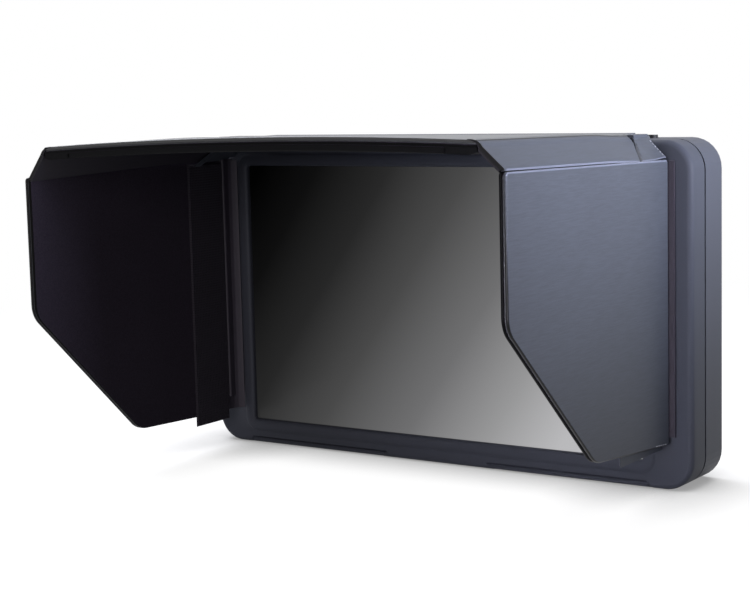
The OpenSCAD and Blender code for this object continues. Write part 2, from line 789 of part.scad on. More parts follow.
// Hinge strip: base on the hook strip, bead along the fold
module hinge_strip(side, axis) {
    x0 = side_x - bead_r;
    mirror([side > 0 ? 0 : 1, 0, 0]) {
        box([x0, front_y - max(axis - hood_gap, hook_t + 0.4), carrier_low_z],
            [x0 + carrier_w, front_y - hook_t, carrier_top_z]);
        box([side_x - bead_r, front_y - axis, carrier_low_z],
            [side_x + bead_r, front_y - hook_t, carrier_top_z]);
        translate([side_x, front_y - axis, carrier_low_z])
            cylinder(r = bead_r, h = carrier_top_z - carrier_low_z, $fn = round_fn);
    }
}

module left_hinge_strip() color([0.11, 0.11, 0.12]) { hinge_strip(-1, left_axis); }
module right_hinge_strip() color([0.11, 0.11, 0.12]) { hinge_strip(1, right_axis); }

// Sloping facet in the wing's plane, cut level at its lower edge; outline is given as
// [distance down the slope, distance in front of the body]
module facet(outline) {
    intersection() {
        translate([wing_axis_x, front_y, wing_axis_z])
            rotate([0, wing_slope, 0])
                mirror([0, 1, 0])
                    linear_extrude(height = wing_t)
                        polygon(outline);
        box([0, front_y - hood_d - 1, wing_low_z], [half_w, front_y + 1, top_z]);
    }
}

module wing() {
    facet([
        [bead_r, wing_root + wing_gap], [wing_len, wing_root + wing_cut + 2 * wing_gap],
        [wing_len, hood_d], [bead_r, hood_d]
    ]);
}

module right_wing() color([0.24, 0.25, 0.28]) { wing(); }
module left_wing() color([0.24, 0.25, 0.28]) { mirror([1, 0, 0]) wing(); }

module hood_root_flap() color([0.24, 0.25, 0.28]) {
    // Flap over the top face and on to the fold
    box([-flap_w / 2, front_y, flap_z], [flap_w / 2, front_y + flap_l, flap_z + flap_t]);
    box([-wing_axis_x - 1, front_y - top_axis, flap_z], [wing_axis_x + 1, front_y + eps, flap_z + flap_t]);
    translate([-top_w / 2, front_y - top_axis, top_under_z])
        rotate([0, 90, 0])
            cylinder(r = bead_r, h = top_w, $fn = round_fn);
    // Fixed corner facets beside the fold
    for (m = [0, 1])
        mirror([m, 0, 0])
            facet([
                [-0.6, hood_gap], [wing_len, hood_gap], [wing_len, wing_root + wing_cut],
                [bead_r, wing_root - hood_gap], [-0.6, top_axis]
            ]);
}

// Slab of the top panel between two heights under its top face
module top_layer(z0, z1, inset = 0) {
    box([-top_w / 2 + inset, front_y - hood_d + inset, z0],
        [top_w / 2 - inset, front_y - top_axis - hinge_reach - inset, z1]);
}

module top_lining() color([0.09, 0.08, 0.10]) { top_layer(top_under_z, top_under_z + lining_t); }
module top_board() color([0.35, 0.35, 0.36]) {
    top_layer(top_under_z + lining_t, top_under_z + lining_t + board_t);
}
module top_skin() color([0.27, 0.28, 0.31]) { top_layer(top_z - skin_t, top_z); }

module front_lip() color([0.08, 0.08, 0.09]) {
    lip_half = wing_axis_x - wing_len + 1.4;
    box([-lip_half, front_y - hood_d, top_under_z - front_lip_h],
        [lip_half, front_y - hood_d + front_lip_d, top_under_z]);
}

// Outline of a side panel: [distance in front of the body, height]
function side_outline(root) = concat(
    [[root, side_top_z]],
    [[root, side_low_z]],
    corner_arc([slant_end, side_low_z], [root, side_low_z], [hood_d, slant_top_z], side_r),
    corner_arc([hood_d, slant_top_z], [slant_end, side_low_z], [hood_d, side_top_z], side_r),
    [[hood_d, side_top_z]]
);

// Layer of a side panel between two distances out from its inner face
module side_layer(side, axis, x0, x1) {
    mirror([side > 0 ? 0 : 1, 0, 0])
        translate([side_x + x0, front_y, 0])
            rotate([90, 0, -90])
                mirror([0, 0, 1])
                    linear_extrude(height = x1 - x0)
                        polygon(side_outline(axis + hinge_reach));
}

module strap(side, axis) {
    mirror([side > 0 ? 0 : 1, 0, 0])
        box([side_x - strap_t, front_y - axis - hinge_reach - strap_l, side_low_z - strap_drop],
            [side_x, front_y - axis - hinge_reach, side_top_z - 1]);
}

module right_lining() color([0.09, 0.08, 0.10]) { side_layer(1, right_axis, 0, lining_t); }
module right_board() color([0.35, 0.35, 0.36]) { side_layer(1, right_axis, lining_t, lining_t + board_t); }
module right_skin() color([0.27, 0.28, 0.31]) { side_layer(1, right_axis, lining_t + board_t, panel_t); }
module right_strap() color([0.08, 0.08, 0.09]) { strap(1, right_axis); }
module left_lining() color([0.09, 0.08, 0.10]) { side_layer(-1, left_axis, 0, lining_t); }
module left_board() color([0.35, 0.35, 0.36]) { side_layer(-1, left_axis, lining_t, lining_t + board_t); }
module left_skin() color([0.27, 0.28, 0.31]) { side_layer(-1, left_axis, lining_t + board_t, panel_t); }
module left_strap() color([0.08, 0.08, 0.09]) { strap(-1, left_axis); }

front_bezel();
rear_shell();
seam_gasket();
cover_glass();
display_cell();
backlight_unit();
panel_chassis();
panel_flex();
main_board();
board_chips();
heat_spreader();
key_board();
power_key();
input_key();
menu_key();
left_key();
right_key();
function_key();
video_in_socket();
video_out_socket();
power_in_jack();
power_out_jack();
headphone_jack();
usb_socket();
bottom_insert();
side_insert();
battery_plate();
battery_latch();
latch_spring();
battery_contacts();
shell_screws();
board_screws();
plate_screws();
top_hook_strip();
left_hook_strip();
right_hook_strip();
left_hinge_strip();
right_hinge_strip();
hood_root_flap();
top_board();
top_skin();
top_lining();
front_lip();
left_wing();
right_wing();
left_board();
left_skin();
left_lining();
left_strap();
right_board();
right_skin();
right_lining();
right_strap();
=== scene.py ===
import json
import logging
import math
from dataclasses import dataclass
from enum import Enum
from typing import Any, Mapping, Optional, Sequence, Union

import bmesh
import bpy
import numpy as np
from mathutils import Matrix, Vector

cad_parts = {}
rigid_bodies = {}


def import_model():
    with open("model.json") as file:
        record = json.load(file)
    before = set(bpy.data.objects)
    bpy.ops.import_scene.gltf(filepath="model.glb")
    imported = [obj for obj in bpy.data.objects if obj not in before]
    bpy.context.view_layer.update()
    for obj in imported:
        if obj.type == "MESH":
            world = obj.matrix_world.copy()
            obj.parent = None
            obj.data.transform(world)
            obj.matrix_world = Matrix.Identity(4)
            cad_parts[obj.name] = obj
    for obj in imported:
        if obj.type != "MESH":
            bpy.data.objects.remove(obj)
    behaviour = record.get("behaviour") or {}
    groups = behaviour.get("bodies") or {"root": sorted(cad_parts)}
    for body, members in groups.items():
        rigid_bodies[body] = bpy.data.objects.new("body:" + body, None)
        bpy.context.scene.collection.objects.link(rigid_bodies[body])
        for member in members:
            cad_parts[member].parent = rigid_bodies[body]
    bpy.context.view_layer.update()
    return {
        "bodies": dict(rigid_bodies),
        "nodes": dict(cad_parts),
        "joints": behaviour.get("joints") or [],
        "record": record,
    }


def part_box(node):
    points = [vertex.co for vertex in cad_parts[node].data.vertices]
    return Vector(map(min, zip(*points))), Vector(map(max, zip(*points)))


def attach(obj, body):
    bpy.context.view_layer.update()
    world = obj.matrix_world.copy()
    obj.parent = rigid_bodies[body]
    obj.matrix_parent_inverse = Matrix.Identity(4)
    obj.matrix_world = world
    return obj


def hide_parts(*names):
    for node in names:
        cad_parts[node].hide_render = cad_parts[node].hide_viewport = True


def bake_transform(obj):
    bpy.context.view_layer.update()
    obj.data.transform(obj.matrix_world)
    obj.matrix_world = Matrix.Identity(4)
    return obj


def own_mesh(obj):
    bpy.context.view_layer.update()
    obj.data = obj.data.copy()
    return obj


MM = 0.001
# The body's front face, and in front of it, in mm, the top panel's fold and front edge; half the panel's width
FACE_Y = -14.0
FOLD_AT = 9.0
HOOD_FRONT = 82.5
TOP_HALF = 64.0
# How far the cloth sags beside the top panel's fold, in mm
SAG = 0.65
# Scale at which a wave texture has one band for each unit
BAND = 0.31
# Point attribute: 1 on cut edges, -1 where a pale painted highlight lies
EDGE = "cut_edge"
INNER = "inner_face"

log = logging.getLogger("field_monitor")
Socket = Union[bpy.types.NodeSocket, float, tuple]


class Side(Enum):
    """The two sides of the hood, as signs of x."""

    LEFT = -1.0
    RIGHT = 1.0

    @property
    def word(self) -> str:
        """The side's name as it is used in piece names."""
        return self.name.lower()


class Grain(Enum):
    """The surface pattern that a finish carries."""

    MOULDED = "moulded"
    COATED = "coated"
    FLOCKED = "flocked"
    WOVEN = "woven"
    BRUSHED = "brushed"
    CAST = "cast"


def linear(code: str) -> tuple[float, float, float, float]:
    """Turns a #rrggbb colour to linear light by the sRGB curve.

    Args:
        code: the colour as it is seen, in sRGB hex.

    Returns:
        Red, green, blue in linear light, and an alpha of 1.
    """
    parts = [int(code.lstrip("#")[i:i + 2], 16) / 255.0 for i in (0, 2, 4)]
    flat = [c / 12.92 if c <= 0.04045 else ((c + 0.055) / 1.055) ** 2.4 for c in parts]
    return (flat[0], flat[1], flat[2], 1.0)


def add_node(tree: bpy.types.NodeTree, kind: str, sockets: Optional[Mapping[Any, Socket]] = None,
             **settings: Any) -> bpy.types.Node:
    """Adds one node, sets it, and fills or links its inputs.

    Args:
        tree: the node tree that gets the node.
        kind: the node's type name without the leading ShaderNode.
        sockets: input name or number, with a value or the output that feeds it.
        settings: the node's own properties.

    Returns:
        The new node.
    """
    node = tree.nodes.new(f"ShaderNode{kind}")
    for key, value in settings.items():
        setattr(node, key, value)
    for key, value in (sockets or {}).items():
        if isinstance(value, bpy.types.NodeSocket):
            tree.links.new(value, node.inputs[key])
        else:
            node.inputs[key].default_value = value
    return node


def new_material(name: str) -> tuple[bpy.types.Material, bpy.types.NodeTree]:
    """Makes an empty node material.

    Args:
        name: the material's name.

    Returns:
        The material and its cleared node tree.
    """
    material = bpy.data.materials.new(name)
    material.use_nodes = True
    material.node_tree.nodes.clear()
    return material, material.node_tree


def calc(tree: bpy.types.NodeTree, operation: str, *values: Socket) -> bpy.types.NodeSocket:
    """Adds one math node.

    Args:
        tree: the node tree that gets the node.
        operation: what it works out.
        values: its inputs in order.

    Returns:
        The result.
    """
    return add_node(tree, "Math", dict(enumerate(values)), operation=operation).outputs[0]


def remap(tree: bpy.types.NodeTree, value: bpy.types.NodeSocket, source: tuple[float, float],
          target: tuple[float, float] = (0.0, 1.0), **settings: Any) -> bpy.types.NodeSocket:
    """Adds one node that maps a range to another.

    Args:
        tree: the node tree that gets the node.
        value: what is mapped.
        source: the range that it comes from.
        target: the range that it goes to.
        settings: the node's own properties.

    Returns:
        The mapped value.
    """
    return add_node(tree, "MapRange", {
        "Value": value, "From Min": source[0], "From Max": source[1], "To Min": target[0],
        "To Max": target[1]}, **settings).outputs[0]


def looked_at(tree: bpy.types.NodeTree) -> bpy.types.NodeSocket:
    """Tells the rays that show a surface from those that carry its light.

    Args:
        tree: the node tree that gets the nodes.

    Returns:
        1 for camera, glossy and transmission rays, else 0.
    """
    rays = add_node(tree, "LightPath").outputs
    direct = calc(tree, "MAXIMUM", rays["Is Camera Ray"], rays["Is Glossy Ray"])
    return calc(tree, "MAXIMUM", direct, rays["Is Transmission Ray"])


@dataclass(frozen=True)
class Finish:
    """One finish of the object: its colours, gloss and grain.

    The colour is a slow cloud between two shades. The grain is a noise whose cells measure
    cell_mm along x, y and z, and it lifts the surface by bump. Where the piece's edge
    attribute is 1, the colour turns to edge, and where it is -1, to a pale painted highlight
    along a rim or fold. Where its inner-face attribute is 1, the colour turns to inner.
    """

    name: str
    shade: str
    second: str
    roughness: float
    grain: Grain
    cell_mm: tuple[float, float, float] = (0.4, 0.4, 0.4)
    bump: float = 0.15
    height_mm: float = 0.05
    fleck: float = 0.12
    metallic: float = 0.0
    specular: float = 0.5
    cloud_mm: float = 26.0
    edge: str = ""
    edge_roughness: float = 0.3
    # Pale colour of the painted highlights along rims and folds
    worn: str = "#6c7080"
    inner: str = ""

    def _mixed(self, tree: bpy.types.NodeTree, share: bpy.types.NodeSocket, colour: Socket,
               other: str) -> bpy.types.NodeSocket:
        """Mixes a colour with another one.

        Args:
            tree: the material's nodes.
            share: how much of the other colour shows.
            colour: the colour so far.
            other: the other colour, in sRGB hex.

        Returns:
            The mixed colour.
        """
        return add_node(tree, "Mix", {"Factor": share, "A": colour, "B": linear(other)},
                        data_type="RGBA").outputs["Result"]

    def _pattern(self, tree: bpy.types.NodeTree, coords: bpy.types.NodeSocket) -> bpy.types.NodeSocket:
        """Builds the grain as a height between 0 and 1.

        Args:
            tree: the material's nodes.
            coords: Object coordinates in metres.

        Returns:
            The grain's height.
        """
        scale = tuple(1000.0 / c for c in self.cell_mm)
        placed = add_node(tree, "Mapping", {"Vector": coords, "Scale": scale}).outputs[0]
        if self.grain is Grain.WOVEN:
            threads = [add_node(tree, "TexWave", {"Vector": placed, "Scale": BAND, "Distortion": 0.6},
                                wave_type="BANDS", bands_direction=way).outputs["Fac"] for way in "ZY"]
            return calc(tree, "MAXIMUM", *threads)
        if self.grain is Grain.CAST:
            return add_node(tree, "TexVoronoi", {"Vector": placed, "Scale": 1.0},
                            feature="SMOOTH_F1").outputs["Distance"]
        detail = {Grain.MOULDED: 3.0, Grain.COATED: 4.0, Grain.FLOCKED: 6.0, Grain.BRUSHED: 2.0}[self.grain]
        return add_node(tree, "TexNoise", {"Vector": placed, "Scale": 1.0, "Detail": detail,
                                           "Roughness": 0.6}).outputs["Fac"]

    def build(self) -> bpy.types.Material:
        """Builds the node material of this finish.

        Returns:
            The material.
        """
        material, tree = new_material(self.name)
        coords = add_node(tree, "TexCoord").outputs["Object"]
        grain = self._pattern(tree, coords)
        cloud = add_node(tree, "TexNoise", {"Vector": coords, "Scale": 1000.0 / self.cloud_mm,
                                            "Detail": 2.0}).outputs["Fac"]
        tone = self._mixed(tree, cloud, linear(self.shade), self.second)
        lift = remap(tree, grain, (0.3, 0.75), (1.0 - self.fleck, 1.0 + self.fleck))
        colour = add_node(tree, "VectorMath", {0: tone, "Scale": lift}, operation="SCALE").outputs[0]
        rough = remap(tree, grain, (0.0, 1.0), (self.roughness - 0.06, min(1.0, self.roughness + 0.06)))
        if self.edge:
            mask = add_node(tree, "Attribute", attribute_name=EDGE).outputs["Fac"]
            sharp = remap(tree, mask, (0.25, 0.75))
            colour = self._mixed(tree, sharp, colour, self.edge)
            # Where the attribute is -1: a pale painted highlight
            colour = self._mixed(tree, remap(tree, mask, (-0.25, -0.75)), colour, self.worn)
            rough = add_node(tree, "Mix", {"Factor": sharp, "A": rough, "B": self.edge_roughness},
                             data_type="FLOAT").outputs["Result"]
        if self.inner:
            lined = add_node(tree, "Attribute", attribute_name=INNER).outputs["Fac"]
            colour = self._mixed(tree, lined, colour, self.inner)
        bump = add_node(tree, "Bump", {"Height": grain, "Strength": self.bump,
                                       "Distance": self.height_mm * MM})
        sockets: dict[Any, Socket] = {"Base Color": colour, "Roughness": rough, "Metallic": self.metallic,
                                      "Normal": bump.outputs[0]}
        if not self.metallic:
            sockets.update({"IOR": 1.5, "Specular IOR Level": self.specular})
        shader = add_node(tree, "BsdfPrincipled", sockets)
        add_node(tree, "OutputMaterial", {"Surface": shader.outputs[0]})
        return material


# Injection moulded ABS, spark-eroded satin: fine grain of about 0.4 mm that scatters the lights softly
BODY_ABS = Finish("abs_satin_slate", "#3f424c", "#454853", 0.5, Grain.MOULDED, (0.4, 0.4, 0.4), 0.25, 0.03,
                  0.05, specular=0.12)
# The same ABS on the rear shell, glossier as its mould was polished a little more, and painted one shade
# lighter: a lit copy of the bezel's ABS
SHELL_ABS = Finish("abs_satin_rear", "#444751", "#4a4d58", 0.46, Grain.MOULDED, (0.4, 0.4, 0.4), 0.22, 0.03,
                   0.05, specular=0.14)
# Neoprene rubber, die cut: dull and black
GASKET_RUBBER = Finish("neoprene_gasket", "#0c0c0f", "#101014", 0.85, Grain.CAST, (0.6, 0.6, 0.6), 0.2,
                       specular=0.15)
# Polycarbonate tray, diffuse white moulding behind the display
TRAY_WHITE = Finish("polycarbonate_tray", "#d9d9d4", "#cfcfca", 0.6, Grain.MOULDED, (0.8, 0.8, 0.8), 0.1)
# Zinc-plated sheet steel, rolled: long scratches along x
SHEET_STEEL = Finish("zinc_sheet", "#a9abae", "#9a9ca0", 0.35, Grain.BRUSHED, (6.0, 0.5, 0.3), 0.12,
                     metallic=1.0)
# Polyimide film, glossy amber
AMBER_FILM = Finish("polyimide_film", "#b86a1e", "#a95f18", 0.3, Grain.MOULDED, (1.5, 1.5, 1.5), 0.05)
# Glass-epoxy laminate under green solder mask, faint weave of 0.5 mm
GREEN_BOARD = Finish("epoxy_laminate", "#14502f", "#0f4628", 0.4, Grain.WOVEN, (0.5, 0.5, 0.5), 0.08)
# Epoxy moulding compound of the chips: matte, slightly gritty
CHIP_EPOXY = Finish("chip_epoxy", "#17171a", "#1d1d20", 0.6, Grain.CAST, (0.5, 0.5, 0.5), 0.12)
# Extruded aluminium, bare, drawn lines along z
BARE_ALUMINIUM = Finish("extruded_aluminium", "#b9bbbf", "#adafb4", 0.38, Grain.BRUSHED, (0.3, 0.3, 6.0), 0.15,
                        metallic=1.0)
# Nickel-plated steel shells of the sockets
NICKEL_SHELL = Finish("nickel_plate", "#b4b5b8", "#a7a8ac", 0.28, Grain.BRUSHED, (4.0, 0.4, 0.4), 0.08,
                      metallic=1.0)
# Glass-filled nylon of the jacks, black and dull
JACK_NYLON = Finish("nylon_black", "#121215", "#18181b", 0.55, Grain.MOULDED, (0.5, 0.5, 0.5), 0.15)
# Free-turning brass, fine lathe rings
TURNED_BRASS = Finish("turned_brass", "#c9a35a", "#b9924b", 0.3, Grain.BRUSHED, (0.3, 3.0, 0.3), 0.15,
                      metallic=1.0)
# Gold-plated spring blades
GOLD_BLADE = Finish("gold_plate", "#d9b15c", "#caa04c", 0.25, Grain.BRUSHED, (0.3, 0.3, 4.0), 0.06,
                    metallic=1.0)
# Glass-filled nylon of the battery plate: matte black moulding
PLATE_NYLON = Finish("nylon_plate", "#1b1b1f", "#212126", 0.58, Grain.MOULDED, (0.45, 0.45, 0.45), 0.22,
                     specular=0.3)
# Acetal latch, slicker than the plate around it
LATCH_ACETAL = Finish("acetal_latch", "#26262b", "#2c2c32", 0.38, Grain.MOULDED, (0.8, 0.8, 0.8), 0.08)
# Drawn music wire
SPRING_WIRE = Finish("music_wire", "#9b9da2", "#8d8f94", 0.3, Grain.BRUSHED, (0.2, 3.0, 0.2), 0.1, metallic=1.0)
# Black oxide screws, slightly oily
BLACK_OXIDE = Finish("black_oxide", "#1a1a1c", "#232326", 0.4, Grain.CAST, (0.4, 0.4, 0.4), 0.08, metallic=1.0)
# Hook side of a hook-and-loop tape: dense nylon hooks 0.6 mm apart
HOOK_TAPE = Finish("hook_tape", "#0e0e11", "#151519", 0.9, Grain.CAST, (0.6, 0.6, 0.6), 0.9, 0.25, 0.3,
                   specular=0.1)
# Polypropylene hinge strip, dark violet grey, bent in use so it has a soft gloss
HINGE_PP = Finish("polypropylene_strip", "#34303a", "#3b3742", 0.5, Grain.MOULDED, (0.8, 0.8, 3.0), 0.12,
                  specular=0.25)
# Polyurethane-coated fabric: short fine creases that lie level, 5 mm long and 0.35 mm high
COATED_CLOTH = Finish("coated_cloth_slate", "#43464f", "#4a4e58", 0.46, Grain.COATED, (5.0, 5.0, 0.35), 0.4,
                      0.06, 0.15, specular=0.16, cloud_mm=40.0, edge="#060608", edge_roughness=0.35,
                      inner="#29262e")
# The same coated fabric on the top face, its creases run across the hood; painted a shade lighter than on the
# sides, a lit copy for the face turned up to the light
COATED_TOP = Finish("coated_cloth_top", "#4a4c50", "#525459", 0.42, Grain.COATED, (5.0, 0.35, 5.0), 0.4,
                    0.06, 0.07, specular=0.6, cloud_mm=40.0, edge="#0c0c10", edge_roughness=0.4)
# Polyethylene stiffener board, dark grey
STIFFENER = Finish("polyethylene_board", "#303237", "#3e4046", 0.5, Grain.CAST, (0.9, 0.9, 0.9), 0.5, 0.1, 0.3)
# Nylon flock on foam: dark grey with a breath of violet, no gloss
FLOCK = Finish("nylon_flock", "#3a3540", "#433d4a", 0.95, Grain.FLOCKED, (0.35, 0.35, 0.35), 0.5, 0.08, 0.25,
               specular=0.04, edge="#060608", edge_roughness=0.4)
# Nylon webbing, plain weave of 0.7 mm
WEBBING = Finish("nylon_webbing", "#302d35", "#38353e", 0.8, Grain.WOVEN, (0.7, 0.7, 0.7), 0.6, 0.15, 0.25,
                 specular=0.12)
# Cut edge of foam and glue under the front rim: pure black, a little gloss
LIP_FOAM = Finish("foam_lip", "#060608", "#08080b", 0.5, Grain.CAST, (0.5, 0.5, 0.5), 0.2, specular=0.06)
# Bonded polyester thread, pale grey, wound from three strands
THREAD = Finish("polyester_thread", "#9a9ca6", "#b0b2bb", 0.6, Grain.BRUSHED, (0.5, 0.2, 0.5), 0.3, 0.03, 0.2)
# Silicone rubber caps of the keys
KEY_RUBBER = Finish("silicone_key", "#101013", "#16161a", 0.5, Grain.MOULDED, (0.6, 0.6, 0.6), 0.12,
                    specular=0.2)

SLOT_FINISHES: dict[str, Finish] = {
    "body_plastic": BODY_ABS, "shell_plastic": SHELL_ABS, "gasket_rubber": GASKET_RUBBER,
    "backlight_plastic": TRAY_WHITE, "chassis_steel": SHEET_STEEL, "flex_film": AMBER_FILM,
    "board_laminate": GREEN_BOARD, "chip_plastic": CHIP_EPOXY, "spreader_aluminium": BARE_ALUMINIUM,
    "socket_steel": NICKEL_SHELL, "jack_plastic": JACK_NYLON, "insert_brass": TURNED_BRASS,
    "contact_brass": GOLD_BLADE, "plate_plastic": PLATE_NYLON, "latch_plastic": LATCH_ACETAL,
    "spring_steel": SPRING_WIRE, "screw_black": BLACK_OXIDE, "screw_steel": NICKEL_SHELL,
    "hook_strip": HOOK_TAPE, "hinge_strip": HINGE_PP, "hood_skin": COATED_CLOTH, "hood_board": STIFFENER,
    "hood_lining": FLOCK, "hood_strap": WEBBING, "hood_wing": COATED_CLOTH, "key_plastic": KEY_RUBBER,
    "display_cell": CHIP_EPOXY, "screen_glass": CHIP_EPOXY,
}


@dataclass(frozen=True)
class Picture:
    """The screen's painted reflection: a plain grey ramp that glows, from its upper left to its lower right.

    The place along the ramp is ((x - start x) * slope x + (start z - z) * slope z) / length in
    mm, held between 0 and 1.
    """

    name: str = "display_glass_lit"
    start: tuple[float, float] = (-61.0, 80.0)
    slopes: tuple[float, float] = (1.15, 0.8)
    length: float = 172.0
    stops: tuple[tuple[float, str], ...] = (
        (0.0, "#010101"), (0.14, "#0e0e0e"), (0.306, "#262626"), (0.48, "#464646"),
        (0.68, "#6d6d6e"), (0.85, "#969697"), (1.0, "#b8b8ba"))

    def build(self) -> bpy.types.Material:
        """Builds the screen's material: float glass, coated against glare, whose painted reflection glows as a
        grey ramp.

        Returns:
            The material.
        """
        material, tree = new_material(self.name)
        coords = add_node(tree, "TexCoord").outputs["Object"]
        parts = add_node(tree, "SeparateXYZ", {0: coords}).outputs
        (x, z), (by_x, by_z) = self.start, self.slopes
        across = calc(tree, "MULTIPLY_ADD", parts["X"], by_x / MM / self.length,
                      (z * by_z - x * by_x) / self.length)
        place = calc(tree, "MULTIPLY_ADD", parts["Z"], -by_z / MM / self.length, across)
        ramp = add_node(tree, "ValToRGB", {"Fac": place})
        band = ramp.color_ramp
        for index, (at, shade) in enumerate(self.stops):
            stop = band.elements[index] if index < 2 else band.elements.new(at)
            stop.position, stop.color = at, linear(shade)
        haze = add_node(tree, "TexNoise", {"Vector": coords, "Scale": 2500.0, "Detail": 1.0})
        rough = remap(tree, haze.outputs["Fac"], (0.0, 1.0), (0.2, 0.26))
        # The emission is a painted reflection on the glass, not a lamp
        shader = add_node(tree, "BsdfPrincipled", {
            "Base Color": linear("#020203"), "Roughness": rough, "IOR": 1.5, "Specular IOR Level": 0.06,
            "Emission Color": ramp.outputs["Color"], "Emission Strength": 1.0})
        add_node(tree, "OutputMaterial", {"Surface": shader.outputs[0]})
        return material


class Wardrobe:
    """Keeps one material of each finish."""

    def __init__(self) -> None:
        """Starts empty."""
        self._made: dict[str, bpy.types.Material] = {}

    def get(self, finish: Union[Finish, Picture]) -> bpy.types.Material:
        """Gives the material of a finish, built on its first use.

        Args:
            finish: the finish that is wanted.

        Returns:
            Its material.
        """
        if finish.name not in self._made:
            self._made[finish.name] = finish.build()
        return self._made[finish.name]


def rounded_outline(corners: Sequence[tuple[float, float]], radii: Sequence[float],
                    steps: int = 9) -> np.ndarray:
    """Rounds the corners of a polygon.

    Each corner becomes an arc that touches both its edges: the arc's centre lies on the
    corner's bisector at radius / sin(half angle).

    Args:
        corners: the polygon's corners in order.
        radii: each corner's radius.
        steps: points of each arc.

    Returns:
        Points (n, 2) of the closed outline.
    """
    points = np.asarray(corners, float)
    before = np.roll(points, 1, axis=0) - points
    after = np.roll(points, -1, axis=0) - points
    before /= np.linalg.norm(before, axis=1, keepdims=True)
    after /= np.linalg.norm(after, axis=1, keepdims=True)
    half = np.arccos(np.clip((before * after).sum(1), -1, 1)) / 2
    reach = np.asarray(radii, float)
    middle = before + after
    middle /= np.linalg.norm(middle, axis=1, keepdims=True)
    centre = points + middle * (reach / np.sin(half))[:, None]
    start = points + before * (reach / np.tan(half))[:, None] - centre
    end = points + after * (reach / np.tan(half))[:, None] - centre
    first = np.arctan2(start[:, 1], start[:, 0])
    turn = (np.arctan2(end[:, 1], end[:, 0]) - first + np.pi) % (2 * np.pi) - np.pi
    angle = first[:, None] + turn[:, None] * np.linspace(0, 1, steps)[None, :]
    arcs = centre[:, None, :] + reach[:, None, None] * np.stack([np.cos(angle), np.sin(angle)], -1)
    return arcs.reshape(-1, 2)


def inset_outline(outline: np.ndarray, inset: float) -> np.ndarray:
    """Moves a closed outline inwards by an equal distance.

    Each point moves along the bisector of its two edges by inset / cos(half the turn).

    Args:
        outline: points (n, 2) in order.
        inset: the distance.

    Returns:
        The moved points (n, 2).
    """
    ahead = np.roll(outline, -1, axis=0) - outline
    ahead /= np.maximum(np.linalg.norm(ahead, axis=1, keepdims=True), 1e-9)
    behind = np.roll(ahead, 1, axis=0)
    area = (outline[:, 0] * np.roll(outline[:, 1], -1) - np.roll(outline[:, 0], -1) * outline[:, 1]).sum()
    sign = 1.0 if area > 0 else -1.0
    inward = sign * np.stack([-(ahead[:, 1] + behind[:, 1]), ahead[:, 0] + behind[:, 0]], -1)
    inward /= np.maximum(np.linalg.norm(inward, axis=1, keepdims=True), 1e-9)
    normal = sign * np.stack([-ahead[:, 1], ahead[:, 0]], -1)
    lean = np.maximum((inward * normal).sum(1), 0.3)
    return outline + inward * (inset / lean)[:, None]


def make_piece(name: str, points: np.ndarray, faces: list[list[int]], material: bpy.types.Material,
               edge: Optional[np.ndarray] = None, smooth: float = 0.6,
               inner: Optional[np.ndarray] = None) -> bpy.types.Object:
    """Puts points and faces into a mesh object at the origin.

    Args:
        name: the piece's name.
        points: places (n, 3) in mm.
        faces: the faces as lists of point numbers.
        material: the piece's material.
        edge: 1 where a point belongs to the cut edge, -1 where a pale painted highlight lies, else 0.
        smooth: the angle in radians up to which faces shade as one surface.
        inner: 1 for each point of the lined inner face, else 0.

    Returns:
        The object.
    """
    mesh = bpy.data.meshes.new(name)
    mesh.from_pydata((points * MM).tolist(), [], faces)
    for label, values in ((EDGE, edge), (INNER, inner)):
        if values is not None:
            layer = mesh.attributes.new(label, "FLOAT", "POINT")
            layer.data.foreach_set("value", values.astype(np.float32).ravel())
    work = bmesh.new()
    work.from_mesh(mesh)
    bmesh.ops.recalc_face_normals(work, faces=work.faces[:])
    for line in work.edges:
        line.smooth = len(line.link_faces) == 2 and line.calc_face_angle(0.0) < smooth
    work.to_mesh(mesh)
    work.free()
    mesh.polygons.foreach_set("use_smooth", np.ones(len(mesh.polygons), bool))
    mesh.materials.append(material)
    mesh.update()
    piece = bpy.data.objects.new(name, mesh)
    bpy.context.scene.collection.objects.link(piece)
    log.info("%s: %d points, %d faces", name, len(points), len(faces))
    return piece


def settling(depth: np.ndarray) -> np.ndarray:
    """The share of the hood's settling at a distance: it grows with the distance to the power 1.2.

    Args:
        depth: distances in front of the body, in mm.

    Returns:
        0 at the fold to 1 at the front edge.
    """
    return np.clip((depth - FOLD_AT) / (HOOD_FRONT - FOLD_AT), 0, 1) ** 1.2


def twist(x: Union[float, np.ndarray], depth: np.ndarray) -> np.ndarray:
    """How far the soft hood has settled out of level, as the photograph shows it.

    The height grows linearly with x: up by 1.2 mm at the right, down by 0.4 mm at the left.
    Beside the fold the cloth sags, as a bell curve of 14 mm.

    Args:
        x: places across, in mm.
        depth: distances in front of the body, in mm.

    Returns:
        The height to add, in mm.
    """
    sag = SAG * np.exp(-((depth - FOLD_AT) / 14.0) ** 2)
    return settling(depth) * np.interp(x, [-TOP_HALF, 0.0, TOP_HALF], [-0.4, 0.3, 1.2]) - sag


def to_points(x: Union[float, np.ndarray], depth: np.ndarray, z: np.ndarray) -> np.ndarray:
    """Puts places across, distances in front of the body and heights together.

    Args:
        x: places across, in mm.
        depth: distances in front of the body's face.
        z: heights.

    Returns:
        Points (..., 3) in mm.
    """
    return np.stack(np.broadcast_arrays(x, FACE_Y - depth, z), -1)


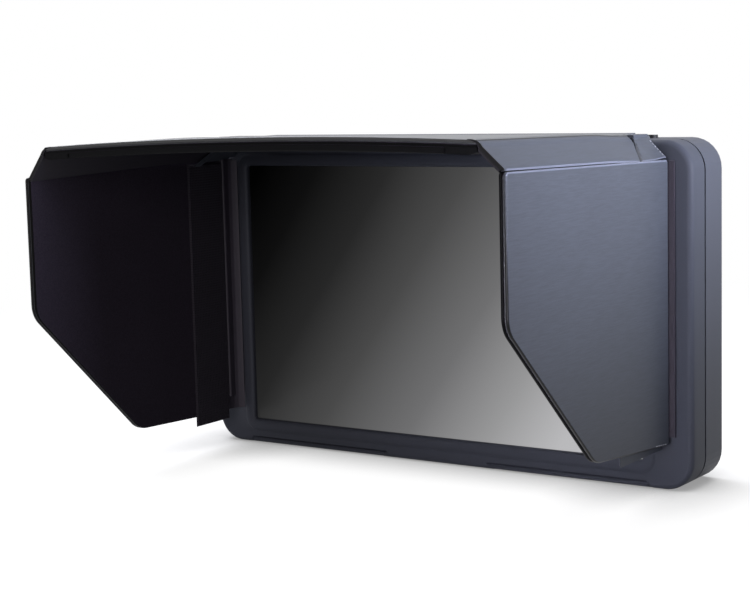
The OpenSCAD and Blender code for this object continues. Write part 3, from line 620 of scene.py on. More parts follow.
def slope_of(shoulder: Sequence[float],
             foot: Sequence[float]) -> tuple[np.ndarray, np.ndarray, np.ndarray, float]:
    """Works out the slope between two points of a section.

    Args:
        shoulder: x and z of its upper end.
        foot: x and z of its lower end.

    Returns:
        The upper end, the unit ways down the slope and out of it, and its length.
    """
    start = np.array(shoulder)
    down = np.array(foot) - start
    length = float(np.linalg.norm(down))
    down /= length
    return start, down, np.array([-down[1], down[0]]), length


def rim_radius(thick: float) -> float:
    """Radius that a layer's rim is rounded with.

    Args:
        thick: the layer's thickness, in mm.

    Returns:
        A little under half the thickness, and 0.38 mm at most.
    """
    return min(0.38, thick * 0.45)


def ring_shell(rings: np.ndarray) -> tuple[np.ndarray, list[list[int]]]:
    """Joins rings of points into one closed shell.

    Ring k and ring k + 1 are joined by four-sided faces, and the first and last ring are
    closed by a fan to their own middle.

    Args:
        rings: points (k, n, 3).

    Returns:
        The points (k * n + 2, 3) and the faces.
    """
    count, size, _ = rings.shape
    index = np.arange(count * size).reshape(count, size)
    right = np.roll(index, -1, axis=1)
    sides = np.stack([index[:-1], right[:-1], right[1:], index[1:]], -1).reshape(-1, 4)
    low = np.stack([np.full(size, count * size), right[0], index[0]], -1)
    high = np.stack([np.full(size, count * size + 1), index[-1], right[-1]], -1)
    points = np.concatenate([rings.reshape(-1, 3), rings[0].mean(0)[None], rings[-1].mean(0)[None]])
    return points, sides.tolist() + low.tolist() + high.tolist()


def stitch_row(start: Sequence[float], end: Sequence[float], out: Sequence[float], pitch: float,
               long: float, thick: float) -> tuple[np.ndarray, list[list[int]]]:
    """Lays a row of stitches on a straight seam.

    Each stitch is an ellipsoid: long / 2 * sin(a) along the seam and thick / 2 * cos(a) round
    it, with a from -70 to 70 degrees.

    Args:
        start: where the row starts, in mm.
        end: where it ends.
        out: the way that the cloth faces.
        pitch: distance between stitches.
        long: length of a stitch.
        thick: its thickness.

    Returns:
        The points and the faces.
    """
    first, last, up = (np.asarray(p, float) for p in (start, end, out))
    total = float(np.linalg.norm(last - first))
    along = (last - first) / total
    count = max(1, int(total / pitch))
    centres = first + along * ((np.arange(count) + 0.5) * total / count)[:, None]
    lat = np.radians(np.linspace(-70, 70, 7))[:, None, None]
    lon = np.linspace(0, 2 * np.pi, 9)[:-1][None, :, None]
    rings = (long / 2 * np.sin(lat) * along
             + thick / 2 * np.cos(lat) * (np.cos(lon) * np.cross(along, up) + np.sin(lon) * up))
    one, faces = ring_shell(rings)
    points = (centres[:, None, :] + one[None]).reshape(-1, 3)
    rows = [[index + k * len(one) for index in face] for k in range(count) for face in faces]
    return points, rows


def sheet_shell(outer: np.ndarray, inner: np.ndarray) -> tuple[np.ndarray, list[list[int]], np.ndarray]:
    """Joins two grids of points into one closed sheet with a thickness.

    The border of the outer grid is joined to the border of the inner one by a strip of
    four-sided faces whose middle line is the mean of the two.

    Args:
        outer: points (m, n, 3) of one face.
        inner: points (m, n, 3) of the other face.

    Returns:
        The points, the faces, and 1 for each point on the border's middle line, else 0.
    """
    rows, cols, _ = outer.shape
    index = np.arange(rows * cols).reshape(rows, cols)
    quads = np.stack([index[:-1, :-1], index[1:, :-1], index[1:, 1:], index[:-1, 1:]], -1).reshape(-1, 4)
    back = quads[:, ::-1] + rows * cols
    rim = np.concatenate([index[0, :-1], index[:-1, -1], index[-1, :0:-1], index[:0:-1, 0]])
    flat_outer, flat_inner = outer.reshape(-1, 3), inner.reshape(-1, 3)
    middle = 2 * rows * cols + np.arange(len(rim))
    ahead = np.roll(np.arange(len(rim)), -1)
    strip_a = np.stack([rim, rim[ahead], middle[ahead], middle], -1)
    strip_b = np.stack([middle, middle[ahead], rim[ahead] + rows * cols, rim + rows * cols], -1)
    points = np.concatenate([flat_outer, flat_inner, (flat_outer[rim] + flat_inner[rim]) / 2])
    edge = np.zeros(len(points))
    edge[middle] = 1.0
    faces = quads.tolist() + back.tolist() + strip_a.tolist() + strip_b.tolist()
    return points, faces, edge


@dataclass
class MonitorBody:
    """The flat housing with its keys, sockets, plate and all that is inside it."""

    finishes: Wardrobe

    def dress(self, frame: Mapping[str, Any]) -> None:
        """Gives every CAD node the finish of its material slot.
        """
        for part in frame["record"]["subparts"]:
            node = frame["nodes"][part["node"]]
            node.data.materials.clear()
            node.data.materials.append(self.finishes.get(SLOT_FINISHES[part["material_slot"]]))
            log.info("%s wears %s", part["node"], SLOT_FINISHES[part["material_slot"]].name)


@dataclass
class Screen:
    """The cover glass with its painted reflection, a glowing grey ramp, sunk into the window."""

    finishes: Wardrobe
    bevel: float = 0.35
    corner: float = 1.2

    def build(self) -> None:
        """Builds the glass over the CAD cover glass: a plate whose front edge is ground to a bevel."""
        low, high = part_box("cover_glass")
        (x0, y0, z0), (x1, y1, z1) = [tuple(v / MM for v in p) for p in (low, high)]
        plan = rounded_outline([(x0, z0), (x1, z0), (x1, z1), (x0, z1)], [self.corner] * 4, 6)
        insets = [self.bevel, 0.0, 0.0]
        depths = [y0, y0 + self.bevel, y1]
        rings = np.stack([np.insert(inset_outline(plan, i), 1, d, axis=1) for i, d in zip(insets, depths)])
        points, faces = ring_shell(rings)
        piece = make_piece("screen_glass", points, faces, self.finishes.get(Picture()), smooth=0.3)
        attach(piece, "monitor")
        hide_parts("cover_glass")


@dataclass
class HoodPanel:
    """One side panel of the hood: skin, stiffener board and lining, with soft rims.

    Distances are in mm in front of the body's face. The skin's and the lining's rims fall off
    as a quarter circle. At the top the skin runs on over the board's edge by the overlap, and
    its rim carries a pale painted highlight for a set depth below the top, fading out over a
    set length. The cloth over the fold is cloth thick.
    """

    side: Side
    root: float
    finishes: Wardrobe
    root_low: float
    slant_foot: tuple[float, float]
    slant_head: tuple[float, float]
    front_top: float
    root_top: float = 85.1
    inner_x: float = 69.4
    bend: float = 7.0
    strap_reach: float = 15.0
    strap_low: float = 10.3
    strap_top: float = 84.0
    strap_long: float = 74.0
    strap_soft: float = 0.35
    cloth: float = 0.24
    # Depth and fade of the pale painted highlight along the right skin's top edge
    overlap: float = 0.9
    rub_deep: float = 1.2
    rub_fade: float = 0.5
    layers: tuple[tuple[str, float, float, float], ...] = (
        ("skin", 1.12, 2.0, 0.0), ("board", 0.86, 1.16, 0.28), ("lining", 0.0, 0.9, 0.0))

    def outline(self) -> np.ndarray:
        """The panel's outline as distance in front of the body and height.

        Returns:
            Points (n, 2).
        """
        corners = [(self.root, self.root_low), self.slant_foot, self.slant_head,
                   (self.slant_head[0], self.front_top), (self.root, self.root_top)]
        return rounded_outline(corners, [0.9, self.bend, self.bend, 0.9, 0.9])

    def _layer(self, name: str, x_in: float, x_out: float, inset: float, finish: Finish) -> bpy.types.Object:
        """Builds one layer as rings from its inner to its outer face.

        Going over the rim, inset = r * (1 - sin a) and depth = r * (1 - cos a) on the outer
        side of the skin and of the lining. The middle rings carry the cut edge, but on the skin
        the outer ones carry a pale painted highlight: on the right only along the top edge, on
        the left all round.

        Args:
            name: the layer's name.
            x_in: its inner face, in mm out from the panel's inner face.
            x_out: its outer face.
            inset: how far its edge lies inside the outline.
            finish: its finish.

        Returns:
            The piece.
        """
        plan = self.outline()
        soft = rim_radius(x_out - x_in)
        turn = np.linspace(0, np.pi / 2, 5)
        rise = soft * (1 - np.sin(turn))
        drop = soft * (1 - np.cos(turn))
        insets = np.concatenate([[soft + 0.15], rise, rise[::-1], [soft + 0.15]]) + inset
        levels = np.concatenate([[x_in], x_in + drop, x_out - drop[::-1], [x_out]])
        edge = np.array([0, 0, 0.6, 1, 1, 1, 1, 1, 1, 0.6, 0, 0])
        # Rings of the skin's rim that carry the pale painted highlight
        highlit = np.array([0, 0, 0, 0, 0, 0, 0, 0.3, 1, 1, 0.7, 0])
        flat = np.stack([inset_outline(plan, i) for i in insets])
        crest = self.root_top + (self.front_top - self.root_top) * flat[:, :, 0] / self.slant_head[0]
        if name == "board":
            flat[:, :, 1] = np.minimum(flat[:, :, 1], crest - self.overlap)
        x = self.side.value * (self.inner_x + levels)
        points, faces = ring_shell(to_points(x[:, None], flat[:, :, 0], flat[:, :, 1]))
        marks = np.repeat(edge[:, None], len(plan), axis=1)
        # The skin's outer rim gets a pale painted highlight: on the right along the top edge, on the left all
        # round
        if name == "skin" and self.side is Side.RIGHT:
            highlight_band = np.clip((flat[:, :, 1] - crest + self.rub_deep) / self.rub_fade, 0, 1)
            marks = marks * (1 - highlight_band) - highlit[:, None] * highlight_band
        elif name == "skin":
            marks[highlit > 0] = -highlit[highlit > 0, None]
        marks = np.concatenate([marks.ravel(), [0, 0]])
        return make_piece(f"{self.side.word}_{name}_soft", points, faces, self.finishes.get(finish), marks)

    def build(self) -> None:
        """Builds the three layers and lets each stand for its CAD node."""
        looks = {"skin": COATED_CLOTH, "board": STIFFENER, "lining": FLOCK}
        for name, x_in, x_out, inset in self.layers:
            piece = self._layer(name, x_in, x_out, inset, looks[name])
            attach(piece, f"{self.side.word}_side")
            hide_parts(f"{self.side.word}_{name}")
        self._strap()
        self._fold()
        # On the right, pale stitches stand as a painted highlight along the root's lower edge
        if self.side is Side.RIGHT:
            self._bar_tack()

    def _bar_tack(self) -> None:
        """Builds a short row of pale stitches at the lower end of the panel's root, a painted highlight along
        its lower edge.
        """
        x = self.inner_x + self.layers[0][2] + 0.02
        points, faces = stitch_row((x, FACE_Y - 9.4, self.root_low + 1.05),
                                   (x, FACE_Y - 2.9, self.root_low + 0.55), (1, 0, 0), pitch=1.3, long=1.1,
                                   thick=0.3)
        piece = make_piece("right_root_tack", points, faces, self.finishes.get(THREAD))
        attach(piece, "right_side")

    def _strap(self) -> None:
        """Builds the webbing strap inside the panel's root: a flat band with soft sides."""
        against = self.inner_x - 0.02
        ease = np.array([0.0, 0.1, self.strap_soft])
        d = np.concatenate([ease, np.linspace(1.0, self.strap_reach - 1.0, 15), self.strap_reach - ease[::-1]])
        z = np.concatenate([ease, np.linspace(1.2, self.strap_long - 1.2, 61), self.strap_long - ease[::-1]])
        gd, gz = np.meshgrid(d, z, indexing="ij")
        away = np.minimum(np.minimum(gd, self.strap_reach - gd), np.minimum(gz, self.strap_long - gz))
        thick = 0.5 * np.sqrt(np.clip(away / self.strap_soft, 0, 1)) * 0.9 + 0.04
        level = self.strap_low + gz * (self.strap_top - self.strap_low) / self.strap_long
        sign, depth = self.side.value, self.root + gd
        points, faces, _ = sheet_shell(to_points(sign * (against - thick), depth, level),
                                       to_points(sign * against, depth, level))
        cloth = COATED_CLOTH if self.side is Side.RIGHT else WEBBING
        piece = make_piece(f"{self.side.word}_strap_band", points, faces, self.finishes.get(cloth))
        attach(piece, f"{self.side.word}_side")
        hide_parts(f"{self.side.word}_strap")

    def _fold(self) -> None:
        """Builds the cloth over the panel's fold, from the body's face on to the panel.

        Its section is a chain of points in x and distance; on the right it lies deep in the
        gap in near-black rubber, a dark sheet that paints the gap's shade, and on the left it covers
        the fold from inside, where the camera sees it.
        """
        if self.side is Side.RIGHT:
            chain = [(70.75, 0.1), (70.8, 0.6), (70.84, 1.1), (70.86, 1.6), (70.88, 2.1), (70.9, 2.7),
                     (70.92, 3.4)]
            # Near-black rubber on the right: painted shade in the gap beside the panel's root
            lean, finish = 1.0, GASKET_RUBBER
        else:
            chain = [(67.0, 0.34), (67.5, 0.75), (68.3, 1.6), (68.9, 2.9), (69.12, 4.2), (69.2, 5.6),
                     (69.3, 7.4)]
            lean, finish = -1.0, HINGE_PP
        knots = np.array(chain)
        t = np.linspace(0, len(chain) - 1, 31)
        line = np.stack([np.interp(t, np.arange(len(chain)), knots[:, k]) for k in (0, 1)], -1)
        step = np.gradient(line, axis=0)
        step /= np.linalg.norm(step, axis=1, keepdims=True)
        normal = lean * np.stack([step[:, 1], -step[:, 0]], -1)
        z = np.linspace(self.root_low + 0.6, self.root_top - 0.7, 41)
        points, faces, _ = sheet_shell(*(
            to_points(self.side.value * flat[:, :1], np.maximum(flat[:, 1:], 0.04), z)
            for flat in (line, line - self.cloth * normal)))
        piece = make_piece(f"{self.side.word}_fold_cloth", points, faces, self.finishes.get(finish))
        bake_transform(piece)


@dataclass
class HoodTop:
    """The top panel with its lip: three layers that bow up in the middle towards the front.

    The bow is lift * (1 - (x / half)^2) * s, where s goes from 0 at the root to 1 at the front
    as the square of the distance.
    """

    finishes: Wardrobe
    half: float = TOP_HALF
    root: float = FOLD_AT
    reach: float = HOOD_FRONT
    under: float = 90.2
    top: float = 92.2
    lift: float = 1.6
    lip_half: float = 56.0
    lip_deep: float = 4.0
    lip_high: float = 1.4

    def bow(self, x: np.ndarray, depth: np.ndarray) -> np.ndarray:
        """Height that the bow adds at a place.

        Args:
            x: places across.
            depth: distances in front of the body.

        Returns:
            The height in mm.
        """
        along = np.clip((depth - self.root) / (self.reach - self.root), 0, 1) ** 1.5
        return self.lift * (1 - np.clip(np.abs(x) / self.half, 0, 1) ** 2) * along + twist(x, depth)

    def _slab(self, name: str, low: float, high: float, inset: float, finish: Finish, half: float,
              back: float, front: float, soft: float) -> bpy.types.Object:
        """Builds one bowed layer from a grid across and along, its rim falling off as a quarter circle.

        Args:
            name: the piece's name.
            low: its lower face before the bow.
            high: its upper face before the bow.
            inset: how far its edge lies inside the panel's edge.
            finish: its finish.
            half: half its width.
            back: distance of its rear edge.
            front: distance of its front edge.
            soft: radius of its rim.

        Returns:
            The piece.
        """
        rim = soft * (1 - np.cos(np.linspace(0, np.pi / 2, 5)))
        x_mid = np.linspace(-half + inset + 1.0, half - inset - 1.0, 61)
        x = np.concatenate([-half + inset + rim, x_mid, half - inset - rim[::-1]])
        d_mid = np.linspace(back + inset + 1.0, front - inset - 1.0, 37)
        depth = np.concatenate([back + inset + rim, d_mid, front - inset - rim[::-1]])
        gx, gd = np.meshgrid(x, depth, indexing="ij")
        away = np.minimum(np.minimum(gx + half - inset, half - inset - gx),
                          np.minimum(gd - back - inset, front - inset - gd))
        gap = soft - np.clip(away, 0, soft)
        fall = soft - np.sqrt(np.maximum(soft ** 2 - gap ** 2, 0))
        lifted = self.bow(gx, gd)
        points, faces, edge = sheet_shell(to_points(gx, gd, high - fall + lifted),
                                          to_points(gx, gd, low + fall + lifted))
        near = np.clip(1.5 - away.reshape(-1) / 0.12, 0, 1)
        edge[:2 * near.size] = np.concatenate([near, near])
        return make_piece(name, points, faces, self.finishes.get(finish), edge)

    def build(self) -> None:
        """Builds skin, board, lining and lip, and lets each stand for its CAD node."""
        rows = (("skin", self.top - 0.88, self.top, 0.0, COATED_TOP, "hood_skin"),
                ("board", self.under + 0.86, self.top - 0.84, 0.28, STIFFENER, "hood_board"),
                ("lining", self.under, self.under + 0.9, 0.0, FLOCK, "hood_lining"))
        for name, low, high, inset, finish, slot in rows:
            piece = self._slab(f"top_{name}_soft", low, high, inset, finish, self.half, self.root, self.reach,
                               rim_radius(high - low))
            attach(piece, "top_panel")
            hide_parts(f"top_{name}")
        lip = self._slab("front_lip_soft", self.under - self.lip_high, self.under + 0.2, 0.0, LIP_FOAM,
                         self.lip_half, self.reach - self.lip_deep, self.reach - 0.1, 0.35)
        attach(lip, "top_panel")
        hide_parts("front_lip")
        for side in Side:
            self._lip_end(side)

    def _lip_end(self, side: Side) -> None:
        """Builds the soft end of the lip, which the wing presses flat when it folds under.

        Its height falls to the fold as a quarter circle over its last 3 mm.

        Args:
            side: the side of the hood.
        """
        span = 3.0
        across = np.concatenate([np.linspace(self.lip_half - 0.4, self.half - span, 9),
                                 self.half - span + 2.9 * np.sin(np.linspace(0.15, np.pi / 2, 9))])
        depth = self.reach - 0.1 - self.lip_deep * np.array([0, 0.02, 0.08, 0.3, 0.6, 0.9, 0.98, 1.0])
        gx, gd = np.meshgrid(across, depth, indexing="ij")
        fall = 1 - np.sqrt(np.clip(1 - np.clip((gx - self.half + span) / span, 0, 1) ** 2, 0, 1))
        high = self.lip_high * (1 - 0.75 * fall)
        lifted = self.bow(side.value * gx, gd)
        points, faces, _ = sheet_shell(to_points(side.value * gx, gd, self.under + 0.15 + lifted),
                                       to_points(side.value * gx, gd, self.under - high + lifted))
        piece = make_piece(f"{side.word}_lip_end", points, faces, self.finishes.get(LIP_FOAM))
        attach(piece, "top_panel")
        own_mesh(piece)


@dataclass
class HoodWing:
    """The sloping strip between the top panel and a side panel, with the soft fold above it.

    Its section runs over the top panel's edge, round the fold and down the slope. Its rear edge
    is a slant: distance = rear + lean * (way down the slope). Towards the front its foot hangs
    down by up to foot_drop.
    """

    side: Side
    finishes: Wardrobe
    foot: tuple[float, float] = (70.85, 85.75)
    shoulder: tuple[float, float] = (65.1, 90.85)
    thick: float = 1.45
    front: float = HOOD_FRONT
    rear: float = 9.3
    lean: float = 1.0
    foot_drop: float = 0.0
    landing: tuple[float, float] = (61.6, 92.28)
    crown: tuple[float, float] = (64.4, 92.36)
    tip_long: float = 0.45

    def section(self) -> tuple[np.ndarray, np.ndarray, np.ndarray]:
        """Section of the wing, from the top panel to its lower edge.

        The outer line is a quadratic curve over the fold, from the landing on the top panel and
        pulled to the crown, then the straight slope. The inner line lies the thickness under it,
        thinner over the top panel.

        Returns:
            Outer points (n, 2) and inner points (n, 2) as x and z, and the way down the slope (n).
        """
        shoulder, down, out, length = slope_of(self.shoulder, self.foot)
        way = np.concatenate([[0.3], np.linspace(0.7, length - 0.5, 7), [length - 0.2, length - 0.06, length]])
        slope_line = shoulder + way[:, None] * down
        tip = np.clip((way - (length - self.tip_long)) / self.tip_long, 0, 1)
        slope_line = slope_line - out * (0.35 * tip ** 2)[:, None]
        a, b, c = np.array(self.landing), np.array(self.crown), slope_line[0]
        t = np.linspace(0, 1, 9)[:-1, None]
        curve = (1 - t) ** 2 * a + 2 * t * (1 - t) * b + t ** 2 * c
        outer = np.concatenate([curve, slope_line])
        step = np.gradient(outer, axis=0)
        step /= np.linalg.norm(step, axis=1, keepdims=True)
        normal = np.stack([-step[:, 1], step[:, 0]], -1)
        depth = np.concatenate([np.linspace(0.12, 0.9, 8), np.full(len(way), self.thick)])
        depth[-3:] = [self.thick - 0.2, self.thick - 0.35, self.thick - 0.6]
        inner = outer - normal * depth[:, None]
        return outer, inner, np.concatenate([np.zeros(8), way])

    def build(self) -> None:
        """Builds the wing as one bent sheet, set in place and joined to no body."""
        outer, inner, way = self.section()
        rear = self.rear + self.lean * np.maximum(way - 0.7, 0)
        share = np.concatenate([[0.0, 0.004], np.linspace(0.02, 0.98, 33), [0.996, 1.0]])
        depth = rear[:, None] + (self.front - rear[:, None]) * share[None, :]
        drop = self.foot_drop * (way / way.max())[:, None] * settling(depth)
        lift = twist(self.side.value * TOP_HALF, depth)
        points, faces, _ = sheet_shell(*(
            to_points(self.side.value * (line[:, :1] + drop * 0.75), depth, line[:, 1:] - drop + lift)
            for line in (outer, inner)))
        rows, cols = depth.shape
        ends = np.minimum(share, 1 - share)[None, :] * (self.front - rear[:, None])
        near = np.clip(1.5 - ends / 0.2, 0, 1) * (share[None, :] > 0.5)
        # The foot's last three rows carry a pale painted highlight
        highlit = np.zeros_like(near)
        highlit[-3:] = 1.0
        # The border's middle line: bare black in the front edge, and a pale painted highlight at the foot
        border = np.zeros(len(points) - 2 * near.size)
        border[cols - 1:cols + rows - 2] = 1.0
        border[cols + rows - 2:2 * cols + rows - 3] = -0.7
        edge = np.concatenate([np.where(near > 0, near, -highlit).ravel(), near.ravel(), border])
        lined = np.zeros(len(points))
        lined[near.size:2 * near.size] = 1.0
        piece = make_piece(f"{self.side.word}_wing_soft", points, faces, self.finishes.get(COATED_CLOTH), edge,
                           inner=lined)
        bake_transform(piece)
        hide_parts(f"{self.side.word}_wing")


@dataclass
class RootFold:
    """The fabric that bridges the fold between the root flap and the top panel."""

    finishes: Wardrobe
    half: float = 63.4
    back: float = 3.0
    front: float = 12.5
    rear_level: float = 91.66
    level: float = 91.7
    thick: float = 0.28
    dip: float = 0.06
    dip_at: float = 8.4
    dip_wide: float = 0.8

    def build(self) -> None:
        """Builds a thin sheet that dips a little over the fold, as a bell curve, and lands on both its sides."""
        x = np.linspace(-self.half, self.half, 41)
        d = np.linspace(self.back, self.front, 27)
        gx, gd = np.meshgrid(x, d, indexing="ij")
        rise = np.clip((gd - self.back) / 5.0, 0, 1)
        level = self.rear_level + (self.level - self.rear_level) * rise * rise * (3 - 2 * rise)
        level = level - self.dip * np.exp(-((gd - self.dip_at) / self.dip_wide) ** 2)
        points, faces, _ = sheet_shell(to_points(gx, gd, level), to_points(gx, gd, level - self.thick))
        piece = make_piece("root_fold_cloth", points, faces, self.finishes.get(COATED_TOP))
        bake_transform(piece)


@dataclass
class CornerGusset:
    """The cloth of the hood's rear corner: it lies over the fixed facet and reaches under the wing.

    It is a plane patch in the facet's slope. From the dive on its front part lies deeper, by
    the tuck, so the wing covers it. Its rear edge is cut on the slant and sewn.
    """

    side: Side
    finishes: Wardrobe
    foot: tuple[float, float] = (70.95, 85.75)
    shoulder: tuple[float, float] = (65.2, 90.75)
    thick: float = 0.26
    tuck: float = 1.75
    dive: float = 7.2
    front: float = 12.0

    def build(self) -> None:
        """Builds the patch from a grid of ways down the slope and distances in front."""
        origin, down, out, length = slope_of(self.shoulder, self.foot)
        way = np.concatenate([[-0.6, -0.4, -0.15], np.linspace(0.1, length - 0.35, 19),
                              [length - 0.12, length]])
        share = np.concatenate([[0, 0.015], np.linspace(0.04, 1.0, 33)])
        rear = np.interp(way, [-0.6, 0.2, 0.9, length], [-1.5, -1.2, 0.12, 1.4])
        front = self.front + np.maximum(way, 0)
        depth = rear[:, None] + (front - rear)[:, None] * share[None, :]
        under = np.clip((depth - (self.dive + np.maximum(way, 0)[:, None])) / 1.6, 0, 1)
        settle = SAG * np.exp(-((np.maximum(FOLD_AT - depth, 0)) / 5.0) ** 2) * 0.6
        grids = []
        for base in (0.0, -self.thick):
            level = base - self.tuck * under * under * (3 - 2 * under)
            flat = origin + way[:, None, None] * down + level[:, :, None] * out
            grids.append(to_points(self.side.value * flat[:, :, 0], depth, flat[:, :, 1] - settle))
        points, faces, _ = sheet_shell(*grids)
        # The outer face's strip at the foot carries a pale painted highlight
        foot_highlight = np.zeros(len(points))
        foot_highlight[:depth.size] = -np.repeat(np.clip((way - length + 0.4) / 0.15, 0, 1), depth.shape[1])
        piece = make_piece(f"{self.side.word}_corner_gusset", points, faces, self.finishes.get(COATED_CLOTH),
                           foot_highlight)
        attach(piece, "monitor")
        ends = [origin + w * down + 0.03 * out for w in (1.1, length - 0.5)]
        rows = [(self.side.value * p[0], FACE_Y - d, p[1]) for p, d in zip(ends, (0.95, 2.1))]
        points, faces = stitch_row(rows[0], rows[1], (self.side.value * out[0], 0, out[1]), pitch=0.95,
                                   long=0.62, thick=0.22)
        seam = make_piece(f"{self.side.word}_gusset_seam", points, faces, self.finishes.get(THREAD))
        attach(seam, "monitor")


@dataclass
class BezelShell:
    """The front frame as a smooth moulding: window reveal, raised ridge, rolled rim, chin slots.

    The frame is a closed ring. Its section runs from the glass over the ridge to the rim, back to
    the seam and inside along the wall, and each ring of points follows the window's outline or
    the body's. The chin slots lie between slot_in and slot_out from the middle.
    """

    finishes: Wardrobe
    half: float = 77.25
    high: float = 90.0
    corner: float = 8.0
    window: tuple[float, float, float] = (63.3, 7.3, 82.8)
    window_corner: float = 0.6
    roll: float = 1.5
    seam: float = -6.0
    slot_in: float = 18.0
    slot_out: float = 66.0
    glass: float = -13.02
    wall: float = -12.0
    edge_steps: tuple[int, int, int, int] = (341, 31, 61, 31)

    def _outline(self, x: float, low: float, high: float, radius: float, bend: int = 17) -> np.ndarray:
        """Outline of a rounded rectangle whose points match those of the frame's other outlines.

        Args:
            x: half its width.
            low: its lower edge.
            high: its upper edge.
            radius: its corners' radius.
            bend: points of each corner.

        Returns:
            Points (n, 2), from the lower left corner round by the lower right one.
        """
        turn = np.linspace(0, np.pi / 2, bend)
        centres = [(x - radius, low + radius), (x - radius, high - radius),
                   (-x + radius, high - radius), (-x + radius, low + radius)]
        arcs = [np.stack([cx + radius * np.cos(turn + a), cz + radius * np.sin(turn + a)], -1)
                for (cx, cz), a in zip(centres, (-np.pi / 2, 0.0, np.pi / 2, np.pi))]
        parts = []
        for index, arc in enumerate(arcs):
            share = np.linspace(0, 1, self.edge_steps[index])[1:-1, None]
            parts.extend([arcs[index - 1][-1] * (1 - share) + arc[0] * share, arc])
        return np.concatenate(parts)
    def _ring(self, grow: float, y: float, at_window: bool = False) -> np.ndarray:
        """Builds one ring along the body's or the window's outline.

        Args:
            grow: how far the outline is moved outwards, in mm.
            y: where the ring lies.
            at_window: True to follow the window's outline.

        Returns:
            Points (n, 3).
        """
        half, low, high = self.window if at_window else (self.half, 0.0, self.high)
        radius = self.window_corner if at_window else self.corner
        return np.insert(self._outline(half + grow, low - grow, high + grow, radius + grow), 1, y, axis=1)

    def build(self) -> None:
        """Builds the frame and lets it stand for the CAD bezel."""
        reveal = [(0.0, self.glass), (0.0, -13.6), (0.06, -13.95), (0.25, -14.25), (0.55, -14.45),
                  (1.1, -14.57), (1.7, -14.6), (2.5, -14.57), (3.0, -14.45), (3.3, -14.25), (3.5, -14.05),
                  (3.62, -14.0)]
        rings = [self._ring(out, y, True) for out, y in reveal]
        rim = np.array([2.9, 2.4, 2.05, 1.95, 1.86, 1.78, 1.66, 1.5, 1.3, 1.1, 0.9, 0.7, 0.5, 0.32, 0.18, 0.08,
                        0.02, 0.0])
        short = self.roll - np.clip(rim, 0, self.roll)
        rolled = FACE_Y + self.roll - np.sqrt(np.maximum(self.roll ** 2 - short ** 2, 0))
        stepped = np.interp(-rim, [-2.9, -1.9, -1.82, -1.62, -1.4, -0.9, -0.4, 0.0],
                            [-14.0, -14.0, -12.3, -12.25, -13.05, -13.35, -13.3, -12.5])
        for inset, y_plain, y_slot in zip(rim, rolled, stepped):
            ring = self._ring(-inset, y_plain)
            x = np.abs(ring[:, 0])
            ends = np.minimum(x - self.slot_in + inset * 0.9, self.slot_out - inset * 0.9 - x)
            ring[:, 1] += (y_slot - y_plain) * np.clip(ends / 0.5, 0, 1) * (ring[:, 2] < 3.0)
            rings.append(ring)
        behind = [(0.0, -11.0), (0.0, self.seam - 0.25), (-0.25, self.seam), (-1.9, self.seam),
                  (-2.0, self.seam - 0.2), (-2.0, self.wall)]
        rings += [self._ring(grow, y) for grow, y in behind]
        rings += [self._ring(1.2, y, True) for y in (self.wall, self.glass)]
        stack = np.stack(rings)
        count, size, _ = stack.shape
        index = np.arange(count * size).reshape(count, size)
        right, above = np.roll(index, -1, axis=1), np.roll(index, -1, axis=0)
        faces = np.stack([index, right, np.roll(right, -1, axis=0), above], -1).reshape(-1, 4)
        piece = make_piece("bezel_moulding", stack.reshape(-1, 3), faces.tolist(), self.finishes.get(BODY_ABS),
                           smooth=0.5)
        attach(piece, "monitor")
        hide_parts("front_bezel")


